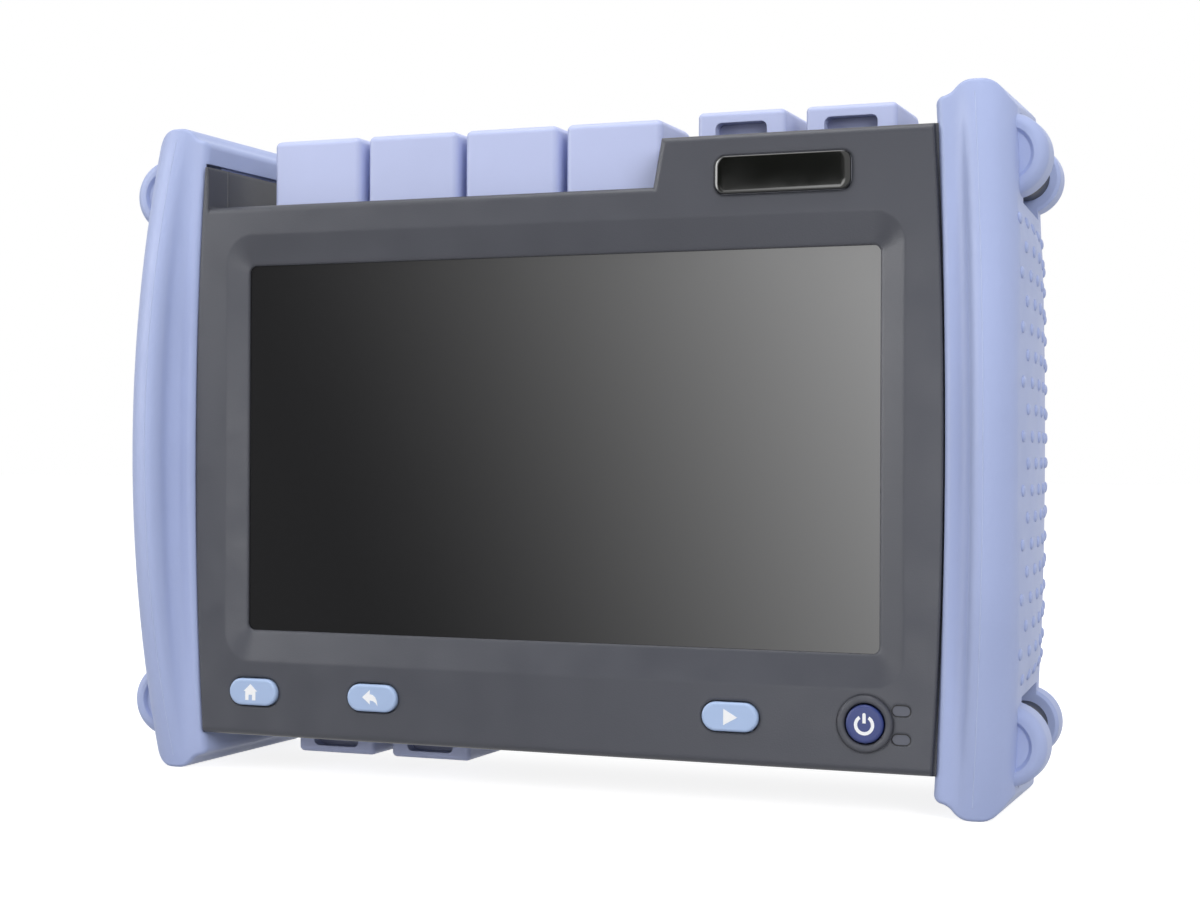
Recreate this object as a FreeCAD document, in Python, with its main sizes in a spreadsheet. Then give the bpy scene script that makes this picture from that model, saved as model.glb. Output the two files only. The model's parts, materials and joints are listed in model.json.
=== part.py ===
"""Handheld optical time domain reflectometer, a parametric FreeCAD model in millimetres.

The part's frame has +Z up, the screen facing -Y, and its origin at the middle of the footprint, on
the surface that the two bumpers stand on. Every sub-part is drawn in one working frame: x from the
middle of the screen, y as depth behind the cover's flat face, z from mid-height. A placement bound
to the sheet carries each sub-part from there to the part's frame.
"""
import FreeCAD, Part
import os
import re

import Sketcher
from FreeCAD import Rotation, Vector

os.makedirs("parts", exist_ok=True)

SIZES = [
    # whole instrument
    ("overall_height", 156.4, "floor to the bumper ridges"),
    ("overall_depth", 65.0, "bumper crown to bumper back"),
    ("fit_gap", 0.3, "play round a part that moves"),
    ("seat_gap", 0.15, "play round a part that is laid in"),
    ("run_gap", 0.05, "radial play of a hinge pin"),
    # front cover
    ("cover_width", 186.0, "front cover, under both bumper lips"),
    ("bumper_reach", 9.0, "bumpers past the body, above and below"),
    ("cover_depth", 9.0, "front face to the parting line"),
    ("cover_wall", 2.5, "side walls of both shells"),
    ("face_wall", 2.8, "wall behind the cover's face"),
    ("cover_edge", 1.5, "rounding of the cover's front edge"),
    ("tongue_y", 1.6, "cover's tongues under the bumper lips, behind its face"),
    ("bay_right", 26.0, "right end of the cap bay at its foot"),
    ("bay_step", 2.0, "run of the slanted bay end"),
    ("bay_left", 88.5, "left end of the cap bay, from the middle"),
    ("bay_drop", 10.9, "cover's edge in the bay, below the top"),
    ("end_wall_drop", 1.0, "wall at the bay's left end, below the top"),
    ("deck_drop", 11.9, "port deck below the top"),
    ("screen_width", 155.5, "visible screen"),
    ("screen_height", 87.75, "visible screen"),
    ("dish_side", 5.5, "sloped border beside the screen"),
    ("dish_end", 7.4, "sloped border above and below the screen"),
    ("dish_depth", 1.6, "how far the screen's edge lies back"),
    ("dish_radius", 7.0, "corner of the sloped border"),
    ("screen_radius", 1.7, "corner of the screen opening"),
    # display stack
    ("screen_rim", 0.5, "cover's rim over the edge of the glass"),
    ("glass_lap", 3.0, "glass behind the cover's lip"),
    ("glass_thick", 1.8, "touch glass"),
    ("glass_corner", 2.0, "corners of the touch glass"),
    ("gasket_thick", 0.8, "foam gasket"),
    ("gasket_width", 2.4, "foam gasket"),
    ("lcd_thick", 5.5, "display module"),
    ("lcd_rim", 1.2, "display module past the glass, top and bottom"),
    ("bracket_thick", 1.0, "display bracket"),
    ("bracket_reach", 87.0, "bracket ears, from the middle"),
    ("bracket_post_x", 84.6, "posts for the bracket"),
    ("bracket_post_z", 20.0, "posts for the bracket"),
    # keys
    ("key_rise", 10.6, "row of keys above the cover's lower edge"),
    ("key_wide", 12.9, "pill key"),
    ("key_tall", 6.4, "pill key"),
    ("key_proud", 1.0, "key in front of the face"),
    ("key_travel", 0.9, "press of a key"),
    ("key_rim", 1.0, "retaining rim of a key"),
    ("key_rim_thick", 1.0, "retaining rim of a key"),
    ("key_stem", 1.8, "radius of a key's stem"),
    ("key_stem_long", 2.1, "key's stem behind its rim"),
    ("home_x", -75.0, "home key"),
    ("back_x", -43.0, "back key"),
    ("test_x", 44.9, "test key"),
    ("power_x", 75.1, "power key"),
    ("power_radius", 4.15, "power key"),
    ("ring_radius", 6.1, "ring round the power key"),
    ("ring_seat", 1.2, "ring's seat in the cover"),
    ("ring_proud", 0.8, "ring in front of the face"),
    ("lamp_x", 82.9, "status windows"),
    ("lamp_pitch", 6.1, "status windows"),
    ("lamp_wide", 4.1, "status window"),
    ("lamp_tall", 2.4, "status window"),
    ("lamp_tail", 1.2, "status window behind the wall"),
    ("board_thick", 1.6, "circuit boards"),
    ("key_board_y", 9.5, "front of the key board"),
    ("key_board_tall", 12.0, "key board"),
    ("switch_side", 6.0, "tact switch"),
    # badge
    ("badge_x", 56.3, "centre of the badge"),
    ("badge_drop", 9.15, "centre of the badge below the cover's top"),
    ("badge_wide", 30.6, "badge"),
    ("badge_tall", 8.3, "badge"),
    ("badge_radius", 2.0, "badge corner"),
    ("badge_seat", 0.8, "badge's seat in the cover"),
    ("badge_proud", 0.7, "badge in front of the face"),
    # rear housing
    ("housing_width", 181.0, "middle frame and rear housing between the bumpers"),
    ("housing_inset", 2.5, "back face of the housing inside the bumpers' backs"),
    ("shell_depth", 12.0, "depth of the rear housing's rim"),
    ("back_wall", 2.4, "back wall"),
    ("housing_edge", 2.0, "rounding of the back edge"),
    ("core_reach", 100.0, "stiff core inside a bumper, from the middle"),
    ("core_wall", 2.8, "walls of a core and of the bumper between core and strap gap"),
    ("case_screw_x", 84.8, "case screws"),
    ("case_screw_inset", 21.2, "case screws inside the body's upper and lower faces"),
    ("boss_radius", 2.9, "bosses of the case screws"),
    ("screw_radius", 1.5, "M3 screws"),
    ("head_radius", 2.6, "M3 screw heads"),
    ("head_thick", 2.0, "M3 screw heads"),
    ("tube_radius", 3.8, "tubes round the case screws"),
    ("head_recess", 2.0, "case screw heads below the back face"),
    ("case_screw_tip", 4.0, "tip of the case screws"),
    # bumpers
    ("lip_x", 92.0, "inner edge of the front lip at mid-height"),
    ("lip_bow", 3.0, "how far the lip draws in at the ends"),
    ("lip_proud", 1.0, "lip in front of the face at mid-height"),
    ("lip_fall", 2.4, "how far the lip falls back at the ends"),
    ("lip_land", 3.0, "flat of the lip"),
    ("rear_lip_x", 88.5, "inner edge of the rear lip"),
    ("crown_x", 101.5, "crown at mid-height"),
    ("crown_bow", 3.5, "how far the crown draws in at the ends"),
    ("crown_proud", 7.5, "crown in front of the face at mid-height"),
    ("crown_fall", 8.6, "how far the crown falls back at the ends"),
    ("side_x", 107.8, "outer side at mid-height"),
    ("side_bow", 2.3, "how far the side draws in at the ends"),
    ("side_taper", 3.2, "how far the side draws in to the rear"),
    ("rear_radius", 8.0, "rear outer rounding"),
    ("flange_drop", 3.4, "flat end of the bumper below its ridge"),
    ("flange_end_x", 90.0, "where the end starts to rise"),
    ("ridge_x", 98.2, "middle of the end ridge"),
    ("ridge_land", 2.0, "flat of the end ridge"),
    ("shoulder_run", 3.9, "rounding outside the ridge"),
    ("shoulder_drop", 1.9, "rounding outside the ridge"),
    ("end_round", 1.0, "rounding of the bumper's ends, in front"),
    ("end_back_round", 2.0, "rounding of the bumper's ends, at the back"),
    # strap ears
    ("ear_inset", 15.7, "strap ears below the ridge"),
    ("ear_x", 103.7, "front ear"),
    ("ear_radius", 8.9, "front ear"),
    ("ear_front", 4.8, "front ear's face"),
    ("ear_back", 12.5, "front ear's back"),
    ("ear_round", 2.2, "rounding of the ears"),
    ("ear_dish", 0.7, "dish in the front ear, chamfer of the rear one"),
    ("ear_dish_radius", 5.2, "flat of the dish in the front ear"),
    ("rear_ear_x", 100.6, "rear ear"),
    ("rear_ear_radius", 8.2, "rear ear"),
    ("rear_ear_inset", 4.0, "rear ear in front of the bumper's back"),
    ("rear_ear_thick", 8.5, "rear ear"),
    ("bar_x", 101.2, "strap bar"),
    ("bar_radius", 5.25, "strap bar"),
    ("strap_gap", 4.45, "way for the strap round the bar"),
    # port caps
    ("cap_first_x", -64.3, "first port cap"),
    ("cap_pitch", 25.75, "port caps"),
    ("cap_width", 23.6, "port cap"),
    ("cap_front", 10.0, "front of all caps and covers"),
    ("cap_back", 34.0, "back of the port caps"),
    ("cap_rise", 5.9, "port caps above the body's top"),
    ("cap_wall", 1.8, "wall of caps and covers"),
    ("cap_round", 1.5, "edges of the port caps"),
    ("cap_back_round", 6.0, "top rear rounding of the port caps"),
    ("cap_hinge_rise", 2.9, "hinge above the deck"),
    ("cap_knuckle", 2.4, "radius of the cap knuckle"),
    ("knuckle_width", 11.0, "knuckle of every cap and cover"),
    ("lug_width", 3.0, "hinge lugs on the rails"),
    ("rail_thick", 1.2, "hinge rails, let into the frame's walls"),
    ("pin_radius", 1.0, "hinge pins of caps and covers"),
    # interface covers
    ("top_cover_x", 43.65, "first top cover"),
    ("low_cover_x", -58.2, "first bottom cover"),
    ("cover_pitch", 25.2, "pitch of the covers in a pair"),
    ("flap_width", 20.6, "top and bottom covers"),
    ("flap_back", 32.3, "back of the covers"),
    ("top_flap_height", 6.7, "top covers"),
    ("low_flap_height", 4.5, "bottom covers"),
    ("flap_roof", 1.6, "roof of the covers"),
    ("flap_round", 1.2, "edges of the covers"),
    ("flap_knuckle", 1.9, "radius of the covers' knuckle"),
    ("flap_hinge_rise", 2.4, "hinge above the wall"),
    ("grip_width", 12.0, "finger slot"),
    ("grip_depth", 3.0, "finger slot"),
    ("grip_roof", 2.6, "roof over the finger slot of a top cover"),
    ("low_grip_roof", 1.7, "roof over the finger slot of a bottom cover"),
    ("grip_radius", 1.4, "finger slot corners"),
    # ports
    ("port_y", 21.0, "all ports and sockets"),
    ("panel_thick", 1.5, "port panel"),
    ("panel_lap", 1.5, "panel on its ledge"),
    ("panel_back", 31.5, "back edge of the panel"),
    ("panel_margin", 13.2, "panel past the outer ports"),
    ("panel_short", 1.6, "panel shorter beside the bay's right end"),
    ("socket_corner", 0.5, "corners of the socket holes"),
    ("ferrule_radius", 1.25, "2.5 mm ferrule bore"),
    ("sleeve_radius", 2.1, "ferrule sleeve"),
    ("nose_radius", 3.1, "space round the sleeve"),
    ("barrel_radius", 4.0, "M8 barrel of an FC port"),
    ("port_flange", 6.6, "port flange"),
    ("port_flange_thick", 2.0, "port flange"),
    ("port_height", 9.0, "port above the panel"),
    ("port_tail", 4.6, "port behind the panel"),
    ("charging_pin_radius", 1.0, "centre pin of the charging socket"),
    ("nose_depth", 6.0, "space round the sleeve"),
    ("universal_radius", 5.2, "barrel of a universal port"),
    # inside
    ("board_y", 27.8, "front of the main board"),
    ("board_margin", 2.0, "main board inside the walls"),
    ("board_top", 11.0, "upper edge of the board's wide part"),
    ("module_right", 24.0, "optical module"),
    ("module_low", 16.0, "underside of the optical module"),
    ("module_drop", 5.8, "optical module below the port panel"),
    ("module_front", 16.0, "front of the optical module"),
    ("post_radius", 2.5, "inner posts"),
    ("board_post_x", 76.0, "posts of the main board, from the middle"),
    ("board_post_low", 9.2, "lower posts of the main board above the underside"),
    ("board_post_high", 8.2, "upper post of the main board below the top"),
    ("key_post_x", 59.0, "posts of the key board, from the middle"),
    ("module_post_x", 41.0, "posts of the optical module, either side of its middle"),
    # battery
    ("battery_width", 84.0, "battery pack"),
    ("battery_height", 48.0, "battery pack"),
    ("battery_thick", 18.0, "battery pack"),
    ("battery_z", -26.0, "middle of the battery"),
    ("battery_play", 0.5, "room round the battery"),
    ("bay_wall", 2.0, "walls of the battery bay"),
    ("door_lap", 4.0, "door on the bay's rim"),
    ("door_tab", 7.5, "door above the battery, with its screws"),
    ("door_radius", 3.0, "door corner"),
    ("door_screw_x", 36.0, "door screws"),
    ("door_screw_length", 9.0, "door screws"),
    # stand
    ("stand_x", 57.5, "middle of a stand leg"),
    ("leg_width", 6.0, "stand leg"),
    ("stand_thick", 4.4, "stand"),
    ("stand_hinge_z", 14.0, "stand hinge"),
    ("stand_foot_rise", 6.7, "lower edge of the stand above the body's underside"),
    ("stand_bar", 5.5, "cross bar of the stand"),
    ("foot_thick", 1.8, "rubber foot of the stand"),
    ("foot_length", 60.0, "rubber foot of the stand"),
    ("stand_pin", 1.4, "radius of the stand pins"),
    ("stand_pin_hold", 2.6, "stand pin in the housing, each side"),
]

doc = FreeCAD.newDocument("reflectometer")
sheet = doc.addObject("Spreadsheet::Sheet", "sizes")
for row, (alias, value, note) in enumerate(SIZES, start=1):
    sheet.set(f"A{row}", alias)
    sheet.set(f"B{row}", str(value))
    sheet.setAlias(f"B{row}", alias)
    sheet.set(f"C{row}", note)
doc.recompute()

ALIASES = {alias for alias, _, _ in SIZES}

# Places that follow from the sizes, each usable by name in any expression.
DERIVED = {
    "body_height": "overall_height - 2 * bumper_reach",
    "flange_half": "overall_height / 2 - flange_drop",
    "ear_z": "overall_height / 2 - ear_inset",
    "core_half": "ear_z - bar_radius - strap_gap - core_wall",
    "key_z": "key_rise - body_height / 2",
    "badge_z": "body_height / 2 - badge_drop",
    "case_screw_z": "body_height / 2 - case_screw_inset",
    "case_head_y": "housing_back - head_thick - head_recess",
    "housing_back": "overall_depth - crown_proud - housing_inset",
    "frame_back": "housing_back - shell_depth",
    "rear_ear_back": "overall_depth - crown_proud - rear_ear_inset",
    "rear_ear_front": "rear_ear_back - rear_ear_thick",
    "cap_top": "body_height / 2 + cap_rise",
    "cap_hinge_y": "cap_back + fit_gap + cap_knuckle",
    "flap_hinge_y": "flap_back + fit_gap + flap_knuckle",
    "module_left": "case_screw_x - tube_radius - fit_gap",
    "module_top": "body_height / 2 - deck_drop - panel_thick - module_drop",
    "module_back": "housing_back - stand_thick - bay_wall - 3 * fit_gap",
    "stand_foot_z": "stand_foot_rise - body_height / 2",
}
SUBPARTS = []

# ---------------------------------------------------------------- derived places, as expressions

BACK = "(overall_depth - crown_proud)"
HALF = "(overall_height / 2)"
TOP = "(body_height / 2)"
DECK = "(body_height / 2 - deck_drop)"
INNER_BACK = "(housing_back - back_wall)"
GLASS_FRONT = "(dish_depth + screen_rim)"
GLASS_BACK = f"({GLASS_FRONT} + glass_thick)"
GASKET_BACK = f"({GLASS_BACK} + gasket_thick)"
LCD_BACK = f"({GASKET_BACK} + lcd_thick)"
BRACKET_BACK = f"({LCD_BACK} + bracket_thick)"
GLASS_X = "(screen_width / 2 + glass_lap)"
GLASS_Z = "(screen_height / 2 + glass_lap)"
KEY_RIM_FRONT = "(face_wall + fit_gap)"
KEY_STEM_END = "(face_wall + fit_gap + key_rim_thick + key_stem_long)"
PANEL_LOW = "(body_height / 2 - deck_drop - panel_thick)"
PANEL_LEFT = "(cap_first_x - panel_margin)"
PANEL_RIGHT = "(cap_first_x + 3 * cap_pitch + panel_margin - panel_short)"
PANEL_FRONT = "(2 * port_y - panel_back)"
BATTERY_BACK = "(housing_back - back_wall - battery_play)"
BAY_FLOOR = "(housing_back - back_wall - 2 * battery_play - battery_thick)"
BAY_HALF_X = "(battery_width / 2 + battery_play)"
BAY_LOW = "(battery_z - battery_height / 2 - battery_play)"
BAY_HIGH = "(battery_z + battery_height / 2 + battery_play)"
DOOR_X = "(battery_width / 2 + battery_play + door_lap)"
DOOR_LOW = "(battery_z - battery_height / 2 - battery_play - door_lap)"
DOOR_HIGH = "(battery_z + battery_height / 2 + battery_play + door_tab)"
DOOR_SCREW_Z = "(battery_z + battery_height / 2 + battery_play + door_tab / 2)"
STAND_Y = "(housing_back - stand_thick / 2 - fit_gap)"
STAND_FRONT = "(housing_back - stand_thick - fit_gap)"


def bound(text):
    """Point the sizes named in an expression at the sheet."""
    return re.sub(r"[a-z_]+", lambda word: _in_sheet(word.group(0)), str(text))


def _in_sheet(word):
    if word in DERIVED:
        return f"({bound(DERIVED[word])})"
    return f"sizes.{word}" if word in ALIASES else word


def number(text):
    """The value of an expression, as a first guess for the sketch solver."""
    return float(sheet.evalExpression(bound(text)))


# ---------------------------------------------------------------- bodies, sketches and features

PLANES = {"x": "YZ_Plane", "y": "XZ_Plane", "z": "XY_Plane"}
AWAY = {"x": 1, "y": -1, "z": 1}


def place(thing):
    """Carry a sub-part from the working frame to the part's frame."""
    thing.setExpression(".Placement.Base.y", bound("crown_proud - overall_depth / 2"))
    thing.setExpression(".Placement.Base.z", bound("overall_height / 2"))
    SUBPARTS.append(thing)
    return thing


def new_body(label):
    body = doc.addObject("PartDesign::Body", label)
    body.Label = label
    return place(body)


def new_sketch(body, axis, level):
    """A sketch square to an axis of the working frame, at a level along it."""
    sketch = body.newObject("Sketcher::SketchObject", "Sketch")
    role = PLANES[axis]
    plane = next(item for item in body.Origin.OriginFeatures if item.Role == role)
    sketch.AttachmentSupport = (plane, [""])
    sketch.MapMode = "FlatFace"
    sketch.setExpression(".AttachmentOffset.Base.z", bound(f"{AWAY[axis]} * ({level})"))
    return sketch


def fix(sketch, kind, items, text):
    index = sketch.addConstraint(Sketcher.Constraint(kind, *items, number(text)))
    sketch.setExpression(f"Constraints[{index}]", bound(text))


def outline(sketch, points):
    """A closed outline. A point is (u, v), or (u, v, radius, side) where an arc leaves it.

    Side is 1 for an arc that bulges to the right of the way along, -1 for one to the left.
    """
    ends = [Vector(number(point[0]), number(point[1]), 0) for point in points]
    joints = []
    for place_in_turn, point in enumerate(points):
        here = ends[place_in_turn]
        there = ends[(place_in_turn + 1) % len(points)]
        if len(point) == 2:
            edge = sketch.addGeometry(Part.LineSegment(here, there), False)
        else:
            edge = sketch.addGeometry(_arc(here, there, number(point[2]), point[3]), False)
            fix(sketch, "Radius", (edge,), point[2])
        first = 1 if sketch.getPoint(edge, 1).distanceToPoint(here) < 1e-6 else 2
        joints.append((edge, first, 3 - first))
    for place_in_turn, point in enumerate(points):
        edge, first, _ = joints[place_in_turn]
        before, _, last = joints[place_in_turn - 1]
        sketch.addConstraint(Sketcher.Constraint("Coincident", before, last, edge, first))
        fix(sketch, "DistanceX", (-1, 1, edge, first), point[0])
        fix(sketch, "DistanceY", (-1, 1, edge, first), point[1])


def _arc(here, there, radius, side):
    chord = there - here
    sagitta = radius - (radius ** 2 - chord.Length ** 2 / 4) ** 0.5
    right = Vector(chord.y, -chord.x, 0).normalize()
    return Part.Arc(here, (here + there) * 0.5 + right * (sagitta * side), there)


def rectangle(sketch, left, right, low, high):
    outline(sketch, [(left, low), (right, low), (right, high), (left, high)])


def rounded(sketch, left, right, low, high, radius):
    """A rectangle with round corners."""
    outline(sketch, [
        (f"{left} + {radius}", low),
        (f"{right} - {radius}", low, radius, 1),
        (right, f"{low} + {radius}"),
        (right, f"{high} - {radius}", radius, 1),
        (f"{right} - {radius}", high),
        (f"{left} + {radius}", high, radius, 1),
        (left, f"{high} - {radius}"),
        (left, f"{low} + {radius}", radius, 1),
    ])


def centred(sketch, u, v, wide, tall, radius):
    rounded(sketch, f"{u} - ({wide}) / 2", f"{u} + ({wide}) / 2",
            f"{v} - ({tall}) / 2", f"{v} + ({tall}) / 2", radius)


def pill(sketch, u, v, wide, tall):
    """A slot with half-round ends, each end drawn as two quarter arcs."""
    straight = f"({wide} - ({tall})) / 2"
    half = f"({tall}) / 2"
    outline(sketch, [
        (f"{u} - {straight}", f"{v} - {half}"),
        (f"{u} + {straight}", f"{v} - {half}", half, 1),
        (f"{u} + {straight} + {half}", v, half, 1),
        (f"{u} + {straight}", f"{v} + {half}"),
        (f"{u} - {straight}", f"{v} + {half}", half, 1),
        (f"{u} - {straight} - {half}", v, half, 1),
    ])


def circle(sketch, u, v, radius):
    centre = Vector(number(u), number(v), 0)
    edge = sketch.addGeometry(Part.Circle(centre, Vector(0, 0, 1), number(radius)), False)
    fix(sketch, "Radius", (edge,), radius)
    fix(sketch, "DistanceX", (-1, 1, edge, 3), u)
    fix(sketch, "DistanceY", (-1, 1, edge, 3), v)


def pad(body, axis, low, high, *draws):
    """Add material between two levels along an axis, over what the draws outline."""
    sketch = new_sketch(body, axis, high if axis == "y" else low)
    for draw in draws:
        draw(sketch)
    feature = body.newObject("PartDesign::Pad", "Pad")
    feature.Profile = sketch
    feature.setExpression("Length", bound(f"({high}) - ({low})"))
    doc.recompute()
    return feature


def pocket(body, axis, low, high, *draws):
    """Take material away between two levels along an axis."""
    before = body.Shape.Volume
    sketch = new_sketch(body, axis, low if axis == "y" else high)
    for draw in draws:
        draw(sketch)
    feature = body.newObject("PartDesign::Pocket", "Pocket")
    feature.Profile = sketch
    feature.setExpression("Length", bound(f"({high}) - ({low})"))
    doc.recompute()
    if not body.Shape.Volume < before - 1e-6:
        raise RuntimeError(f"{body.Label}: a pocket cuts nothing")
    return feature


def round_edges(body, radius, wanted):
    """Fillet the edges of the body's tip whose middle point the test wants."""
    base = body.Tip
    names = _edges(base.Shape, wanted)
    if not names:
        raise RuntimeError(f"{body.Label}: no edge to round")
    feature = body.newObject("PartDesign::Fillet", "Fillet")
    feature.Base = (base, names)
    feature.setExpression("Radius", bound(radius))
    doc.recompute()
    return feature


def _edges(shape, wanted):
    names = []
    for index, edge in enumerate(shape.Edges, start=1):
        middle = edge.valueAt((edge.FirstParameter + edge.LastParameter) / 2)
        if wanted(middle, edge):
            names.append(f"Edge{index}")
    return names


def lies_along(edge, axis):
    """Whether a straight edge runs along an axis."""
    if edge.Curve.TypeId != "Part::GeomLine":
        return False
    return abs(getattr(edge.Curve.Direction, axis)) > 0.999


def near(value, text):
    return abs(value - number(text)) < 0.01


def loft(body, kind, sections):
    feature = body.newObject(f"PartDesign::{kind}Loft", "Loft")
    feature.Profile = sections[0]
    feature.Sections = sections[1:]
    doc.recompute()
    return feature


def turned(body, x, z, points):
    """A solid of revolution about an axis along the depth, from a profile of (radius, depth)."""
    sketch = new_sketch(body, "z", z)
    sketch.setExpression(".AttachmentOffset.Base.x", bound(x))
    outline(sketch, points)
    feature = body.newObject("PartDesign::Revolution", f"turned_{sketch.Name}")
    feature.Profile = sketch
    feature.ReferenceAxis = (sketch, ["V_Axis"])
    feature.Angle = 360
    doc.recompute()
    return feature


def mirrored_feature(body, feature, role):
    """Repeat a feature across one of the body's own planes."""
    plane = next(item for item in body.Origin.OriginFeatures if item.Role == role)
    mirror = body.newObject("PartDesign::Mirrored", "Mirrored")
    mirror.Originals = [feature]
    mirror.MirrorPlane = (plane, [""])
    body.Tip = mirror
    doc.recompute()
    return mirror


# ---------------------------------------------------------------- primitives for small hardware

TURNS = {"x": Rotation(Vector(0, 1, 0), 90), "y": Rotation(Vector(1, 0, 0), -90), "z": Rotation()}


def rod(axis, start, end, across, radius):
    """A cylinder along an axis. Across gives the two other coordinates, in x, y, z order."""
    cylinder = doc.addObject("Part::Cylinder", "Rod")
    cylinder.Placement.Rotation = TURNS[axis]
    where = list(across)
    where.insert("xyz".index(axis), start)
    for letter, text in zip("xyz", where):
        cylinder.setExpression(f".Placement.Base.{letter}", bound(text))
    cylinder.setExpression("Radius", bound(radius))
    cylinder.setExpression("Height", bound(f"({end}) - ({start})"))
    return cylinder


def block(left, right, front, back, low, high):
    box = doc.addObject("Part::Box", "Block")
    for letter, text in zip("xyz", (left, front, low)):
        box.setExpression(f".Placement.Base.{letter}", bound(text))
    box.setExpression("Length", bound(f"({right}) - ({left})"))
    box.setExpression("Width", bound(f"({back}) - ({front})"))
    box.setExpression("Height", bound(f"({high}) - ({low})"))
    return box


def fused(shapes):
    union = doc.addObject("Part::MultiFuse", "Union")
    union.Shapes = shapes
    return union


def cut(base, tool):
    difference = doc.addObject("Part::Cut", "Difference")
    difference.Base = base
    difference.Tool = tool
    return difference


def group(label, solids):
    """Several separate solids under one name."""
    compound = doc.addObject("Part::Compound", label)
    compound.Links = solids
    compound.Label = label
    return place(compound)


def screw(x, z, seat, tip):
    """A pan-head screw along the depth, its head behind the seat and its tip in front."""
    head = rod("y", seat, f"{seat} + head_thick", (x, z), "head_radius")
    shank = rod("y", tip, seat, (x, z), "screw_radius")
    recess = rod("y", f"{seat} + head_thick - 1", f"{seat} + head_thick", (x, z), "head_radius / 2")
    return cut(fused([head, shank]), recess)


# ---------------------------------------------------------------- shells


def cover_outline(sketch, inset):
    """The front cover seen from the front, drawn in by an inset."""
    side = f"(cover_width / 2 - {inset})"
    top = f"(body_height / 2 - {inset})"
    step = f"(body_height / 2 - bay_drop - {inset})"
    outline(sketch, [
        (f"-{side}", f"-{top}"),
        (side, f"-{top}"),
        (side, top),
        (f"bay_right + bay_step + {inset}", top),
        (f"bay_right + {inset}", step),
        (f"-{side}", step),
    ])


def tongue(sketch, side):
    """What the bow of a bumper's lip leaves of the cover, on one side."""
    start = f"({side} * (lip_x - lip_bow - fit_gap))"
    outside = f"({side} * cover_width)"
    bend = f"(({HALF}^2 + lip_bow^2) / (2 * lip_bow))"
    outline(sketch, [
        (start, f"-{side} * {HALF}", bend, 1),
        (start, f"{side} * {HALF}"),
        (outside, f"{side} * {HALF}"),
        (outside, f"-{side} * {HALF}"),
    ])


def front_cover():
    body = new_body("front_cover")
    pad(body, "y", "0", "cover_depth", lambda s: cover_outline(s, "0"))
    round_edges(body, "cover_edge", lambda middle, edge: near(middle.y, "0"))
    pad(body, "y", "0", "cover_depth", lambda s: rectangle(
        s, "-cover_width / 2", "-bay_left", f"{TOP} - bay_drop - cover_edge", f"{TOP} - 1"))
    pocket(body, "y", "face_wall", "cover_depth", lambda s: cover_outline(s, "cover_wall"))
    pocket(body, "y", "0", "tongue_y", lambda s: tongue(s, 1), lambda s: tongue(s, -1))
    wide = new_sketch(body, "y", "0")
    centred(wide, "0", "0", "(screen_width + 2 * dish_side)", "(screen_height + 2 * dish_end)",
            "dish_radius")
    narrow = new_sketch(body, "y", "dish_depth")
    centred(narrow, "0", "0", "screen_width", "screen_height", "screen_radius")
    loft(body, "Subtractive", [wide, narrow])
    pocket(body, "y", "dish_depth", "face_wall", lambda s: centred(
        s, "0", "0", "screen_width", "screen_height", "screen_radius"))
    pocket(body, "y", GLASS_FRONT, "face_wall", lambda s: centred(
        s, "0", "0", f"(2 * {GLASS_X} + 2 * seat_gap)", f"(2 * {GLASS_Z} + 2 * seat_gap)",
        "(glass_corner + seat_gap)"))
    pocket(body, "y", "0", "badge_seat", lambda s: centred(
        s, "badge_x", "badge_z", "(badge_wide + 2 * seat_gap)", "(badge_tall + 2 * seat_gap)",
        "(badge_radius + seat_gap)"))
    key_holes = [
        lambda s, x=x: pill(s, x, "key_z", "(key_wide + 2 * fit_gap)", "(key_tall + 2 * fit_gap)")
        for x in ("home_x", "back_x", "test_x")]
    lamp_holes = [
        lambda s, z=z: pill(s, "lamp_x", f"(key_z {z} lamp_pitch / 2)", "lamp_wide", "lamp_tall")
        for z in ("+", "-")]
    pocket(body, "y", "0", "face_wall", *key_holes, *lamp_holes,
           lambda s: circle(s, "power_x", "key_z", "(power_radius + fit_gap)"))
    pocket(body, "y", "0", "ring_seat", lambda s: circle(s, "power_x", "key_z", "ring_radius"))
    bosses = [
        lambda s, x=x, z=z: circle(s, f"{x} case_screw_x", f"{z} case_screw_z", "boss_radius")
        for x in ("-", "+") for z in ("-", "+")]
    pad(body, "y", "face_wall", "cover_depth", *bosses)
    pilots = [
        lambda s, x=x, z=z: circle(s, f"{x} case_screw_x", f"{z} case_screw_z", "screw_radius")
        for x in ("-", "+") for z in ("-", "+")]
    pocket(body, "y", "case_screw_tip", "cover_depth", *pilots)
    posts = [
        lambda s, x=x, z=z: circle(s, f"{x} bracket_post_x", f"{z} bracket_post_z", "post_radius")
        for x in ("-", "+") for z in ("-", "+")]
    pad(body, "y", "face_wall", LCD_BACK, *posts)
    threads = [
        lambda s, x=x, z=z: circle(
            s, f"{x} bracket_post_x", f"{z} bracket_post_z", "post_radius / 2")
        for x in ("-", "+") for z in ("-", "+")]
    pocket(body, "y", f"{LCD_BACK} - 6", LCD_BACK, *threads)
    board_posts = [
        lambda s, x=x: circle(s, x, "key_z", "post_radius") for x in ("-key_post_x", "0", "key_post_x")]
    pad(body, "y", "face_wall", "key_board_y", *board_posts)
    return body


def housing_outline(sketch):
    """The frame and the rear housing seen from the front, with the cap bay's two ends."""
    side = "(housing_width / 2)"
    outline(sketch, [
        (f"-{side}", f"-{TOP}"),
        (side, f"-{TOP}"),
        (side, TOP),
        ("bay_right + bay_step", TOP),
        ("bay_right", DECK),
        ("-bay_left", DECK),
        ("-bay_left", f"{TOP} - end_wall_drop"),
        (f"-{side}", f"{TOP} - end_wall_drop"),
    ])


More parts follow.
